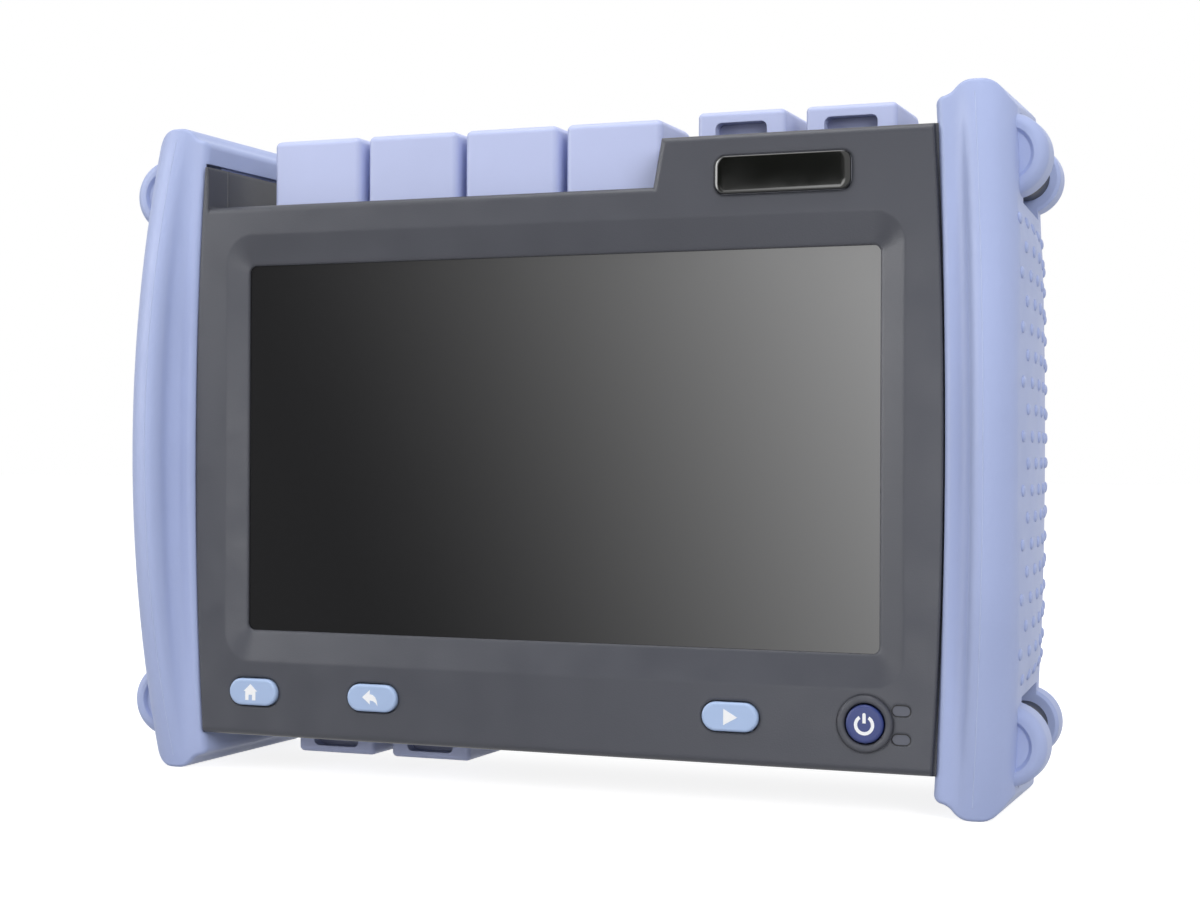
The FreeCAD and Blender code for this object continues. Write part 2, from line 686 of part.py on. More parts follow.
def housing_cavity(sketch):
    side = "(housing_width / 2 - cover_wall)"
    outline(sketch, [
        (f"-{side}", f"-({TOP} - cover_wall)"),
        (side, f"-({TOP} - cover_wall)"),
        (side, f"{TOP} - cover_wall"),
        ("bay_right + bay_step + cover_wall", f"{TOP} - cover_wall"),
        ("bay_right + cover_wall", f"{DECK} - cover_wall"),
        (f"-{side}", f"{DECK} - cover_wall"),
    ])


def stand_outline(sketch, grow, foot, hinge_end):
    """The U of the stand, or its groove, seen along the depth."""
    outer = f"(stand_x + leg_width / 2 + {grow})"
    inner = f"(stand_x - leg_width / 2 - {grow})"
    bar = f"(stand_foot_z + stand_bar + {grow})"
    outline(sketch, [
        (f"-{outer}", foot),
        (outer, foot),
        (outer, hinge_end),
        (inner, hinge_end),
        (inner, bar),
        (f"-{inner}", bar),
        (f"-{inner}", hinge_end),
        (f"-{outer}", hinge_end),
    ])


def lugs(body, x, hinge_y, rise, knuckle, wall, up):
    """The pair of hinge lugs beside one knuckle, standing on a wall of the housing."""
    for side in ("-", "+"):
        near_face = f"{x} {side} (knuckle_width / 2 + fit_gap)"
        far_face = f"{x} {side} (knuckle_width / 2 + fit_gap + lug_width)"
        low, high = (far_face, near_face) if side == "-" else (near_face, far_face)
        foot = f"{wall} - ({up} * 0.5)"
        axis = f"{wall} + {up} * {rise}"
        first, last = (f"{hinge_y} - {knuckle}", f"{hinge_y} + {knuckle}")
        points = [(first, foot), (last, foot), (last, axis, knuckle, 1),
                  (hinge_y, f"{axis} + {up} * {knuckle}", knuckle, 1), (first, axis)]
        if up < 0:
            points = [(first, foot), (first, axis, knuckle, 1),
                      (hinge_y, f"{axis} + {up} * {knuckle}", knuckle, 1), (last, axis),
                      (last, foot)]
        pad(body, "x", low, high, lambda s, points=points: outline(s, points))


def screw_corners():
    """The four case screws, as (x, z) expressions."""
    return [(f"{x} case_screw_x", f"{z} case_screw_z") for x in ("-", "+") for z in ("-", "+")]


def at_corners(radius):
    """One circle round each case screw, as draws for a pad or a pocket."""
    return [lambda s, x=x, z=z: circle(s, x, z, radius) for x, z in screw_corners()]


def middle_frame():
    """The ring of side walls between the front cover and the rear housing."""
    body = new_body("middle_frame")
    pad(body, "y", "cover_depth", "frame_back", housing_outline)
    pocket(body, "y", "cover_depth", "frame_back", housing_cavity)
    pad(body, "y", "cover_depth", "frame_back", *at_corners("tube_radius"))
    pocket(body, "y", "cover_depth", "frame_back", *at_corners("(screw_radius + seat_gap)"))
    frame_ports(body)
    return body


def bumper_core():
    """The stiff tray that a soft bumper is pulled over, on the frame's side."""
    body = new_body("right_bumper_core")
    pad(body, "y", "cover_depth", "housing_back", lambda s: rectangle(
        s, "housing_width / 2", "core_reach", "-core_half", "core_half"))
    pocket(body, "x", "housing_width / 2", "core_reach - core_wall", lambda s: rectangle(
        s, "cover_depth + core_wall", "housing_back - core_wall",
        "-core_half + core_wall", "core_half - core_wall"))
    return body


def rear_housing():
    """The back shell: back wall, battery box, stand groove and seats of the case screws."""
    body = new_body("rear_housing")
    pad(body, "y", "frame_back", "housing_back", housing_outline)
    round_edges(body, "housing_edge", lambda middle, edge: near(middle.y, "housing_back")
                and lies_along(edge, "x") and abs(middle.x) < number("bay_left"))
    pocket(body, "y", "frame_back", INNER_BACK, housing_cavity)
    housing_battery_bay(body)
    housing_stand_groove(body)
    pad(body, "y", "frame_back", INNER_BACK, *at_corners("tube_radius"))
    pocket(body, "y", "frame_back", "case_head_y", *at_corners("(screw_radius + seat_gap)"))
    pocket(body, "y", "case_head_y", "housing_back", *at_corners("(head_radius + fit_gap)"))
    return body


def housing_battery_bay(body):
    """A box on the inside of the back wall that takes the battery from behind."""
    pad(body, "y", f"{BAY_FLOOR} - bay_wall", INNER_BACK, lambda s: rectangle(
        s, f"-{BAY_HALF_X} - door_lap - bay_wall", f"{BAY_HALF_X} + door_lap + bay_wall",
        f"{DOOR_LOW} - bay_wall", f"{DOOR_HIGH} + bay_wall"))
    pocket(body, "y", BAY_FLOOR, "housing_back", lambda s: rectangle(
        s, f"-{BAY_HALF_X}", BAY_HALF_X, BAY_LOW, BAY_HIGH))
    pocket(body, "y", INNER_BACK, "housing_back", lambda s: rounded(
        s, f"-{DOOR_X} - fit_gap", f"{DOOR_X} + fit_gap", f"{DOOR_LOW} - fit_gap",
        f"{DOOR_HIGH} + fit_gap", "door_radius"))
    pocket(body, "y", f"{INNER_BACK} - door_screw_length", INNER_BACK,
           lambda s: circle(s, "-door_screw_x", DOOR_SCREW_Z, "(screw_radius + fit_gap)"),
           lambda s: circle(s, "door_screw_x", DOOR_SCREW_Z, "(screw_radius + fit_gap)"))


def housing_stand_groove(body):
    """The groove that the folded stand lies in, with its own floor inside the housing."""
    floor = f"({STAND_FRONT} - fit_gap)"
    end = "(stand_hinge_z + stand_thick / 2 + fit_gap)"
    foot = "(stand_foot_z - foot_thick - fit_gap)"
    pad(body, "y", f"{floor} - bay_wall", INNER_BACK, lambda s: stand_outline(
        s, "(stand_pin_hold + 2 * fit_gap)", f"({foot} - bay_wall)", f"({end} + bay_wall)"))
    pocket(body, "y", floor, "housing_back", lambda s: stand_outline(s, "fit_gap", foot, end))
    for side in ("-", "+"):
        middle = f"{side} stand_x"
        reach = "(leg_width / 2 + fit_gap + stand_pin_hold)"
        pocket(body, "x", f"{middle} - {reach}", f"{middle} + {reach}",
               lambda s: circle(s, STAND_Y, "stand_hinge_z", "(stand_pin + run_gap)"))


def frame_ports(body):
    """The opening under the port panel, the holes of the sockets and the rails' seats."""
    pocket(body, "z", PANEL_LOW, DECK, lambda s: rectangle(
        s, f"{PANEL_LEFT} - seat_gap", f"{PANEL_RIGHT} + seat_gap", f"{PANEL_FRONT} - seat_gap",
        "panel_back + seat_gap"))
    pocket(body, "z", f"{DECK} - cover_wall", PANEL_LOW, lambda s: rectangle(
        s, f"{PANEL_LEFT} + panel_lap", f"{PANEL_RIGHT} - panel_lap",
        f"{PANEL_FRONT} + panel_lap", "panel_back - panel_lap"))
    for x, wide, deep in TOP_SOCKETS:
        pocket(body, "z", f"{TOP} - cover_wall", TOP,
               lambda s, x=x, wide=wide, deep=deep: socket_hole(s, x, wide, deep))
    for x, wide, deep in LOW_SOCKETS:
        pocket(body, "z", f"-{TOP}", f"-{TOP} + cover_wall",
               lambda s, x=x, wide=wide, deep=deep: socket_hole(s, x, wide, deep))
    for _, centres, hinge_y, _, knuckle, wall, up in HINGE_RAILS:
        left, right = rail_ends(centres)
        low, high = (f"{wall} - rail_thick", wall) if up > 0 else (wall, f"{wall} + rail_thick")
        pocket(body, "z", low, high, lambda s: rectangle(
            s, f"{left} - seat_gap", f"{right} + seat_gap",
            f"{hinge_y} - {knuckle} - seat_gap", f"{hinge_y} + {knuckle} + seat_gap"))


def socket_hole(sketch, x, wide, deep):
    centred(sketch, x, "port_y", f"({wide} + 2 * seat_gap)", f"({deep} + 2 * seat_gap)",
            "socket_corner")


def rail_ends(centres):
    reach = "(knuckle_width / 2 + fit_gap + lug_width)"
    return f"({centres[0]} - {reach})", f"({centres[-1]} + {reach})"


def hinge_rail(label, centres, hinge_y, rise, knuckle, wall, up):
    """A rail let into a wall of the frame, with a pair of lugs for each lid's knuckle."""
    body = new_body(label)
    left, right = rail_ends(centres)
    low, high = (f"{wall} - rail_thick", wall) if up > 0 else (wall, f"{wall} + rail_thick")
    pad(body, "z", low, high, lambda s: rectangle(
        s, left, right, f"{hinge_y} - {knuckle}", f"{hinge_y} + {knuckle}"))
    for x in centres:
        lugs(body, x, hinge_y, rise, knuckle, wall, up)
    pocket(body, "x", left, right, lambda s: circle(
        s, hinge_y, f"{wall} + ({up}) * {rise}", "(pin_radius + run_gap)"))


def standoffs():
    """The turned spacers that carry the main board and the optical module."""
    group("standoffs", [
        rod("y", "board_y + board_thick", INNER_BACK, (x, z), "post_radius")
        for x, z in BOARD_POSTS] + [
        rod("y", "module_back", INNER_BACK, (x, z), "post_radius") for x, z in MODULE_POSTS])


CAPS = tuple(f"(cap_first_x + {place_in_row} * cap_pitch)" for place_in_row in range(4))
TOP_FLAPS = ("top_cover_x", "(top_cover_x + cover_pitch)")
LOW_FLAPS = ("low_cover_x", "(low_cover_x + cover_pitch)")
TOP_SOCKETS = (("top_cover_x", "14.6", "7.2"), ("(top_cover_x + cover_pitch)", "16", "13.6"))
LOW_SOCKETS = (("low_cover_x", "9", "11"), ("(low_cover_x + cover_pitch)", "12", "10.6"))
BOARD_LOW = f"(board_post_low - {TOP})"
BOARD_HIGH = f"({TOP} - board_post_high)"
BOARD_EDGE = "(board_top - board_post_high + cover_wall / 2)"
BOARD_POSTS = (("-board_post_x", BOARD_LOW), ("board_post_x", BOARD_LOW),
               ("-board_post_x", BOARD_EDGE), ("board_post_x", BOARD_EDGE),
               ("board_post_x", BOARD_HIGH))
MODULE_X = "((module_right - module_left) / 2)"
MODULE_Z = "((module_top + module_low) / 2)"
MODULE_POSTS = ((f"({MODULE_X} - module_post_x)", MODULE_Z),
                (f"({MODULE_X} + module_post_x)", MODULE_Z))
HINGE_RAILS = (
    ("cap_hinge_rail", CAPS, "cap_hinge_y", "cap_hinge_rise", "cap_knuckle", DECK, 1),
    ("top_hinge_rail", TOP_FLAPS, "flap_hinge_y", "flap_hinge_rise", "flap_knuckle", TOP, 1),
    ("bottom_hinge_rail", LOW_FLAPS, "flap_hinge_y", "flap_hinge_rise", "flap_knuckle",
     f"(-{TOP})", -1),
)


# ---------------------------------------------------------------- bumpers


def bumper_section(body, level):
    """One plan section of the right bumper, at a level given as a share of its half height."""
    bow = level * level
    sketch = new_sketch(body, "z", f"{level} * {HALF}")
    lip_x = f"(lip_x - {bow} * lip_bow)"
    lip_y = f"({bow} * lip_fall - lip_proud)"
    crown_x = f"(crown_x - {bow} * crown_bow)"
    crown_y = f"({bow} * crown_fall - crown_proud)"
    side = f"(side_x - {bow} * side_bow)"
    run = f"({crown_x} - {lip_x} - lip_land)"
    rise = f"({lip_y} - {crown_y})"
    swell = f"(({run}^2 + {rise}^2) / (4 * {rise}))"
    nose = f"({side} - {crown_x})"
    outline(sketch, [
        (lip_x, lip_y),
        (f"{lip_x} + lip_land", lip_y, swell, -1),
        (f"{crown_x} - {run} / 2", f"{crown_y} + {rise} / 2", swell, 1),
        (crown_x, crown_y, nose, 1),
        (side, f"{crown_y} + {nose}"),
        (f"{side} - side_taper", f"{BACK} - rear_radius", "rear_radius", 1),
        (f"{side} - side_taper - rear_radius", BACK),
        ("rear_lip_x", BACK),
    ])
    return sketch


def bumper_end(sketch):
    """All that lies above the bumper's end: flat flange, rise to the ridge, sloped shoulder."""
    ridge = "(ridge_x - ridge_land / 2)"
    run = f"({ridge} - flange_end_x)"
    rise = f"({HALF} - flange_half)"
    swell = f"(({run}^2 + {rise}^2) / (4 * {rise}))"
    shoulder_x = "(ridge_x + ridge_land / 2 + shoulder_run)"
    shoulder_z = f"({HALF} - shoulder_drop)"
    bend = "((shoulder_run^2 + shoulder_drop^2) / (2 * shoulder_drop))"
    slope = "(2 * shoulder_run * shoulder_drop / (shoulder_run^2 - shoulder_drop^2))"
    outside = "(side_x + ear_radius)"
    outline(sketch, [
        ("rear_lip_x - ear_radius", "flange_half"),
        ("flange_end_x", "flange_half", swell, 1),
        (f"flange_end_x + {run} / 2", f"flange_half + {rise} / 2", swell, -1),
        (ridge, HALF),
        ("ridge_x + ridge_land / 2", HALF, bend, -1),
        (shoulder_x, shoulder_z),
        (outside, f"{shoulder_z} - {slope} * ({outside} - {shoulder_x})"),
        (outside, f"{HALF} + ear_radius"),
        ("rear_lip_x - ear_radius", f"{HALF} + ear_radius"),
    ])


def strap_channel(sketch):
    """The way round a strap bar, open to the side."""
    way = "(bar_radius + strap_gap)"
    outside = "(side_x + ear_radius)"
    outline(sketch, [
        ("bar_x", f"ear_z - {way}"),
        (outside, f"ear_z - {way}"),
        (outside, f"ear_z + {way}"),
        ("bar_x", f"ear_z + {way}", way, 1),
        (f"bar_x - {way}", "ear_z", way, 1),
    ])


def at_bumper_end(middle, edge):
    return abs(middle.z) > number("ear_z + shoulder_run") and not lies_along(edge, "y")


def right_bumper():
    body = new_body("right_bumper")
    loft(body, "Additive", [bumper_section(body, level) for level in (-1, 0, 1)])
    end = pocket(body, "y", "-crown_proud - 1", f"{BACK} + 1", bumper_end)
    mirrored_feature(body, end, "XY_Plane")
    round_edges(body, "end_round", lambda middle, edge: at_bumper_end(middle, edge)
                and middle.y < number("cover_depth"))
    round_edges(body, "end_back_round", lambda middle, edge: at_bumper_end(middle, edge)
                and middle.y > number(f"{BACK} - rear_radius"))
    for side in ("", "-"):
        turned(body, "ear_x", f"{side}ear_z", [
            ("0", "ear_front + ear_dish"),
            ("ear_dish_radius", "ear_front + ear_dish"),
            ("ear_dish_radius + ear_dish", "ear_front"),
            ("ear_radius - ear_round", "ear_front", "ear_round", 1),
            ("ear_radius", "ear_front + ear_round"),
            ("ear_radius", "ear_back"),
            ("0", "ear_back"),
        ])
        turned(body, "rear_ear_x", f"{side}ear_z", [
            ("0", "rear_ear_front"),
            ("rear_ear_radius - ear_dish", "rear_ear_front"),
            ("rear_ear_radius", "rear_ear_front + ear_dish"),
            ("rear_ear_radius", "rear_ear_back - ear_round", "ear_round", 1),
            ("rear_ear_radius - ear_round", "rear_ear_back"),
            ("0", "rear_ear_back"),
        ])
    channel = pocket(body, "y", "ear_back", "rear_ear_front", strap_channel)
    mirrored_feature(body, channel, "XY_Plane")
    pocket(body, "y", "tongue_y", "cover_depth", lambda s: rectangle(
        s, "rear_lip_x - ear_radius", "cover_width / 2", f"-{TOP}", TOP))
    pocket(body, "y", "cover_depth", "housing_back", lambda s: rectangle(
        s, "rear_lip_x - ear_radius", "housing_width / 2", f"-{TOP}", TOP))
    pocket(body, "y", "cover_depth", "housing_back", lambda s: rectangle(
        s, "rear_lip_x", "core_reach", "-core_half", "core_half"))
    return body


def on_the_left(source, label):
    """The left twin of a sub-part on the right."""
    mirror = doc.addObject("Part::Mirroring", label)
    mirror.Source = source
    mirror.Base = Vector(0, 0, 0)
    mirror.Normal = Vector(1, 0, 0)
    mirror.Label = label
    SUBPARTS.append(mirror)


def strap_bars():
    bars = [rod("y", "ear_back", "rear_ear_front", (f"{x} bar_x", f"{z} ear_z"), "bar_radius")
            for x in ("-", "+") for z in ("-", "+")]
    group("strap_bars", bars)


# ---------------------------------------------------------------- display


def display_window():
    body = new_body("display_window")
    pad(body, "y", GLASS_FRONT, GLASS_BACK, lambda s: centred(
        s, "0", "0", f"(2 * {GLASS_X})", f"(2 * {GLASS_Z})", "glass_corner"))


def display_gasket():
    body = new_body("display_gasket")
    pad(body, "y", GLASS_BACK, GASKET_BACK, lambda s: centred(
        s, "0", "0", f"(2 * {GLASS_X})", f"(2 * {GLASS_Z})", "glass_corner"))
    pocket(body, "y", GLASS_BACK, GASKET_BACK, lambda s: rectangle(
        s, f"-{GLASS_X} + gasket_width", f"{GLASS_X} - gasket_width",
        f"-{GLASS_Z} + gasket_width", f"{GLASS_Z} - gasket_width"))


def lcd_module():
    body = new_body("lcd_module")
    half = f"({GLASS_Z} + lcd_rim)"
    pad(body, "y", GASKET_BACK, LCD_BACK, lambda s: rectangle(
        s, f"-{GLASS_X}", GLASS_X, f"-{half}", half))
    pocket(body, "y", f"{LCD_BACK} - 1.2", LCD_BACK, lambda s: rectangle(
        s, f"-{GLASS_X} + 6", f"{GLASS_X} - 6", f"-{half} + 6", f"{half} - 6"))


def display_bracket():
    body = new_body("display_bracket")
    half = f"({GLASS_Z} + lcd_rim)"
    pad(body, "y", LCD_BACK, BRACKET_BACK, lambda s: rectangle(
        s, "-bracket_reach", "bracket_reach", "-bracket_post_z - 5", "bracket_post_z + 5"))
    pad(body, "y", LCD_BACK, BRACKET_BACK, lambda s: rectangle(
        s, f"-{GLASS_X} + 4", f"{GLASS_X} - 4", f"-{half} + 2", f"{half} - 2"))
    pocket(body, "y", LCD_BACK, BRACKET_BACK, lambda s: rounded(
        s, "-60", "60", "-30", "30", "4"))
    pocket(body, "y", LCD_BACK, BRACKET_BACK, *[
        lambda s, x=x, z=z: circle(
            s, f"{x} bracket_post_x", f"{z} bracket_post_z", "(post_radius / 2 + seat_gap)")
        for x in ("-", "+") for z in ("-", "+")])


def display_screws():
    screws = []
    for x in ("-", "+"):
        for z in ("-", "+"):
            across = (f"{x} bracket_post_x", f"{z} bracket_post_z")
            head = rod("y", BRACKET_BACK, f"{BRACKET_BACK} + 1.4", across, "post_radius - 0.2")
            shank = rod("y", f"{LCD_BACK} - 6", BRACKET_BACK, across, "post_radius / 2")
            screws.append(fused([head, shank]))
    group("display_screws", screws)


def badge_plate():
    body = new_body("badge_plate")
    pad(body, "y", "-badge_proud", "badge_seat", lambda s: centred(
        s, "badge_x", "badge_z", "badge_wide", "badge_tall", "badge_radius"))
    round_edges(body, "badge_proud * 0.7", lambda middle, edge: near(middle.y, "-badge_proud"))


# ---------------------------------------------------------------- keys


def pill_key(label, x):
    """A key with a pill-shaped cap, a retaining rim behind the wall and a stem."""
    body = new_body(label)
    pad(body, "y", "-key_proud", KEY_RIM_FRONT, lambda s: pill(
        s, x, "key_z", "key_wide", "key_tall"))
    round_edges(body, "key_proud * 0.6", lambda middle, edge: near(middle.y, "-key_proud"))
    pad(body, "y", KEY_RIM_FRONT, f"{KEY_RIM_FRONT} + key_rim_thick", lambda s: pill(
        s, x, "key_z", "(key_wide + 2 * key_rim)", "(key_tall + 2 * key_rim)"))
    pad(body, "y", f"{KEY_RIM_FRONT} + key_rim_thick", KEY_STEM_END, lambda s: circle(
        s, x, "key_z", "key_stem"))


def power_button():
    body = new_body("power_button")
    pad(body, "y", "-key_proud", KEY_RIM_FRONT, lambda s: circle(
        s, "power_x", "key_z", "power_radius"))
    round_edges(body, "key_proud * 0.6", lambda middle, edge: near(middle.y, "-key_proud"))
    pad(body, "y", KEY_RIM_FRONT, f"{KEY_RIM_FRONT} + key_rim_thick", lambda s: circle(
        s, "power_x", "key_z", "(power_radius + key_rim)"))
    pad(body, "y", f"{KEY_RIM_FRONT} + key_rim_thick", KEY_STEM_END, lambda s: circle(
        s, "power_x", "key_z", "key_stem"))


def power_button_ring():
    body = new_body("power_button_ring")
    pad(body, "y", "-ring_proud", "ring_seat",
        lambda s: circle(s, "power_x", "key_z", "ring_radius"),
        lambda s: circle(s, "power_x", "key_z", "(power_radius + fit_gap)"))
    round_edges(body, "ring_proud * 0.6", lambda middle, edge: near(middle.y, "-ring_proud"))


def status_windows():
    body = new_body("status_windows")
    body.AllowCompound = True
    pad(body, "y", "seat_gap", "face_wall + lamp_tail", *[
        lambda s, z=z: pill(s, "lamp_x", f"(key_z {z} lamp_pitch / 2)", "lamp_wide", "lamp_tall")
        for z in ("+", "-")])


def keypad_board():
    body = new_body("keypad_board")
    pad(body, "y", "key_board_y", "key_board_y + board_thick", lambda s: rectangle(
        s, "home_x - key_wide / 2", "lamp_x + lamp_wide / 2",
        "key_z - key_board_tall / 2", "key_z + key_board_tall / 2"))


def tact_switches():
    """Switches on the key board, each with its plunger a full press behind a stem."""
    switches = []
    front = f"({KEY_STEM_END} + key_travel + fit_gap)"
    for x in ("home_x", "back_x", "test_x", "power_x"):
        case = block(f"{x} - switch_side / 2", f"{x} + switch_side / 2", f"{front} + 0.6",
                     "key_board_y", "key_z - switch_side / 2", "key_z + switch_side / 2")
        plunger = rod("y", front, f"{front} + 0.7", (x, "key_z"), "key_stem - 0.1")
        switches.append(fused([case, plunger]))
    group("tact_switches", switches)


# ---------------------------------------------------------------- caps, covers and their pins


def lid_profile(sketch, back, wall, height, rounding, up):
    """Side view of a cap or cover: front, roof, rounded rear and the knuckle behind it."""
    low = f"({wall} + {up} * fit_gap)"
    high = f"({wall} + {up} * {height})"
    step = f"({up} * {rounding})"
    points = [("cap_front", low), (back, low), (back, f"{high} - {step}", rounding, 1),
              (f"{back} - {rounding}", high), ("cap_front", high)]
    if up < 0:
        points = [("cap_front", low), ("cap_front", high), (f"{back} - {rounding}", high,
                  rounding, 1), (back, f"{high} - {step}"), (back, low)]
    outline(sketch, points)


def knuckle_profile(sketch, back, hinge, rise, knuckle, wall, up):
    """The knuckle and the web that ties it to the lid's rear wall."""
    axis = f"({wall} + {up} * {rise})"
    tip = f"({axis} + {up} * {knuckle})"
    root = f"({axis} - {up} * {knuckle})"
    inside = f"({back} - cap_wall / 2)"
    points = [(inside, root), (hinge, root, knuckle, 1), (f"{hinge} + {knuckle}", axis, knuckle, 1),
              (hinge, tip), (inside, tip)]
    if up < 0:
        points = [(inside, tip), (hinge, tip, knuckle, 1), (f"{hinge} + {knuckle}", axis, knuckle, 1),
                  (hinge, root), (inside, root)]
    outline(sketch, points)


def lid(label, x, width, back, wall, height, rounding, up):
    """The outer form of a lid over a wall of the frame, before its hollow and its knuckle."""
    body = new_body(label)
    left = f"({x} - {width} / 2)"
    right = f"({x} + {width} / 2)"
    pad(body, "x", left, right, lambda s: lid_profile(s, back, wall, height, rounding, up))
    return body, left, right


def lid_hollow(body, left, right, front, back, wall, height, roof, up):
    low = f"({wall} + {up} * fit_gap)"
    high = f"({wall} + {up} * ({height} - {roof}))"
    first, last = (low, high) if up > 0 else (high, low)
    pocket(body, "z", first, last, lambda s: rectangle(
        s, f"{left} + cap_wall", f"{right} - cap_wall", front, f"{back} - cap_wall"))


def lid_knuckle(body, x, back, hinge, rise, knuckle, wall, up):
    pad(body, "x", f"{x} - knuckle_width / 2", f"{x} + knuckle_width / 2",
        lambda s: knuckle_profile(s, back, hinge, rise, knuckle, wall, up))
    pocket(body, "x", f"{x} - knuckle_width / 2", f"{x} + knuckle_width / 2",
           lambda s: circle(s, hinge, f"({wall} + {up} * {rise})", "(pin_radius + run_gap)"))


def port_cap(place_in_row):
    x = f"(cap_first_x + {place_in_row} * cap_pitch)"
    height = f"(cap_top - {DECK})"
    body, left, right = lid(
        f"port_cap_{place_in_row + 1}", x, "cap_width", "cap_back", DECK, height,
        "cap_back_round", 1)
    round_edges(body, "cap_round", lambda middle, edge: (
        near(middle.y, "cap_front") and middle.z > number(f"{DECK} + 1"))
        or near(middle.z, "cap_top"))
    lid_hollow(body, left, right, "cap_front + cap_wall", "cap_back", DECK, height,
               "cap_wall", 1)
    lid_knuckle(body, x, "cap_back", "cap_hinge_y", "cap_hinge_rise", "cap_knuckle", DECK, 1)


def interface_cover(label, x, wall, height, grip_roof, up):
    """A low cover with a finger slot in its front."""
    body, left, right = lid(
        label, x, "flap_width", "flap_back", wall, height, "(flap_round * 2)", up)
    top = f"({wall} + {up} * {height})"
    round_edges(body, "flap_round", lambda middle, edge: (
        near(middle.y, "cap_front") and not near(middle.z, f"({wall} + {up} * fit_gap)"))
        or near(middle.z, top))
    low = f"({wall} + {up} * fit_gap)"
    high = f"({wall} + {up} * ({height} - {grip_roof}))"
    first, last = (low, high) if up > 0 else (high, low)
    half = "(grip_width / 2)"
    pocket(body, "y", "cap_front", "cap_front + grip_depth", lambda s: outline(
        s, grip_points(x, half, first, last, up)))
    lid_hollow(body, left, right, "cap_front + grip_depth + cap_wall", "flap_back", wall,
               height, "flap_roof", up)
    lid_knuckle(body, x, "flap_back", "flap_hinge_y", "flap_hinge_rise", "flap_knuckle", wall, up)


def grip_points(x, half, low, high, up):
    """A finger slot seen from the front, square at the wall and rounded at the roof."""
    if up > 0:
        return [(f"{x} - {half}", low), (f"{x} + {half}", low),
                (f"{x} + {half}", f"{high} - grip_radius", "grip_radius", 1),
                (f"{x} + {half} - grip_radius", high),
                (f"{x} - {half} + grip_radius", high, "grip_radius", 1),
                (f"{x} - {half}", f"{high} - grip_radius")]
    return [(f"{x} - {half} + grip_radius", low),
            (f"{x} + {half} - grip_radius", low, "grip_radius", 1),
            (f"{x} + {half}", f"{low} + grip_radius"),
            (f"{x} + {half}", high), (f"{x} - {half}", high),
            (f"{x} - {half}", f"{low} + grip_radius", "grip_radius", 1)]


def hinge_pins():
    reach = "(knuckle_width / 2 + fit_gap + lug_width)"
    cap_axis = ("cap_hinge_y", f"({DECK} + cap_hinge_rise)")
    group("cap_hinge_rod", [rod("x", f"cap_first_x - {reach}",
                                f"cap_first_x + 3 * cap_pitch + {reach}", cap_axis, "pin_radius")])
    top_axis = ("flap_hinge_y", f"({TOP} + flap_hinge_rise)")
    group("top_cover_pins", [rod("x", f"{x} - {reach}", f"{x} + {reach}", top_axis, "pin_radius")
                             for x in TOP_FLAPS])
    low_axis = ("flap_hinge_y", f"(-{TOP} - flap_hinge_rise)")
    group("bottom_cover_pins", [rod("x", f"{x} - {reach}", f"{x} + {reach}", low_axis, "pin_radius")
                                for x in LOW_FLAPS])


# ---------------------------------------------------------------- ports and sockets


def optical_port_panel():
    body = new_body("optical_port_panel")
    pad(body, "z", PANEL_LOW, DECK, lambda s: rectangle(
        s, PANEL_LEFT, PANEL_RIGHT, PANEL_FRONT, "panel_back"))
    pocket(body, "z", PANEL_LOW, DECK, *[
        lambda s, place_in_row=place_in_row: circle(
            s, f"(cap_first_x + {place_in_row} * cap_pitch)", "port_y", "(port_tail + seat_gap)")
        for place_in_row in range(4)])


def optical_port(label, place_in_row, barrel):
    """A turned port: tail through the panel, flange, barrel and a sleeve with a ferrule bore."""
    x = f"(cap_first_x + {place_in_row} * cap_pitch)"
    top = f"({DECK} + port_height)"
    body = new_body(label)
    pad(body, "z", "module_top", DECK, lambda s: circle(s, x, "port_y", "port_tail"))
    pad(body, "z", DECK, f"{DECK} + port_flange_thick", lambda s: circle(
        s, x, "port_y", "port_flange"))
    pad(body, "z", f"{DECK} + port_flange_thick", top, lambda s: circle(s, x, "port_y", barrel))
    pocket(body, "z", f"{top} - nose_depth", top,
           lambda s: circle(s, x, "port_y", "nose_radius"),
           lambda s: circle(s, x, "port_y", "sleeve_radius"))
    pocket(body, "z", "module_top + 2", top, lambda s: circle(s, x, "port_y", "ferrule_radius"))


def socket(label, x, wide, deep, long, mouth_wide, mouth_deep, mouth_long, up):
    """A board socket in a hole of the housing wall, its mouth flush with the wall."""
    body = new_body(label)
    wall = f"({up} * {TOP})"
    low, high = (f"{wall} - {long}", wall) if up > 0 else (wall, f"{wall} + {long}")
    pad(body, "z", low, high, lambda s: rectangle(
        s, f"{x} - {wide} / 2", f"{x} + {wide} / 2", f"port_y - {deep} / 2", f"port_y + {deep} / 2"))
    inner, outer = (f"{wall} - {mouth_long}", wall) if up > 0 else (wall, f"{wall} + {mouth_long}")
    if mouth_deep:
        pocket(body, "z", inner, outer, lambda s: rectangle(
            s, f"{x} - {mouth_wide} / 2", f"{x} + {mouth_wide} / 2",
            f"port_y - {mouth_deep} / 2", f"port_y + {mouth_deep} / 2"))
    else:
        pocket(body, "z", inner, outer, lambda s: circle(s, x, "port_y", f"{mouth_wide} / 2"))
    base_low, base_high = (low, f"{wall} - cover_wall - 1") if up > 0 else (
        f"{wall} + cover_wall + 1", high)
    pad(body, "z", base_low, base_high, lambda s: rectangle(
        s, f"{x} - {wide} / 2", f"{x} + {wide} / 2", f"port_y + {deep} / 2 - 1", "board_y"))
    return body


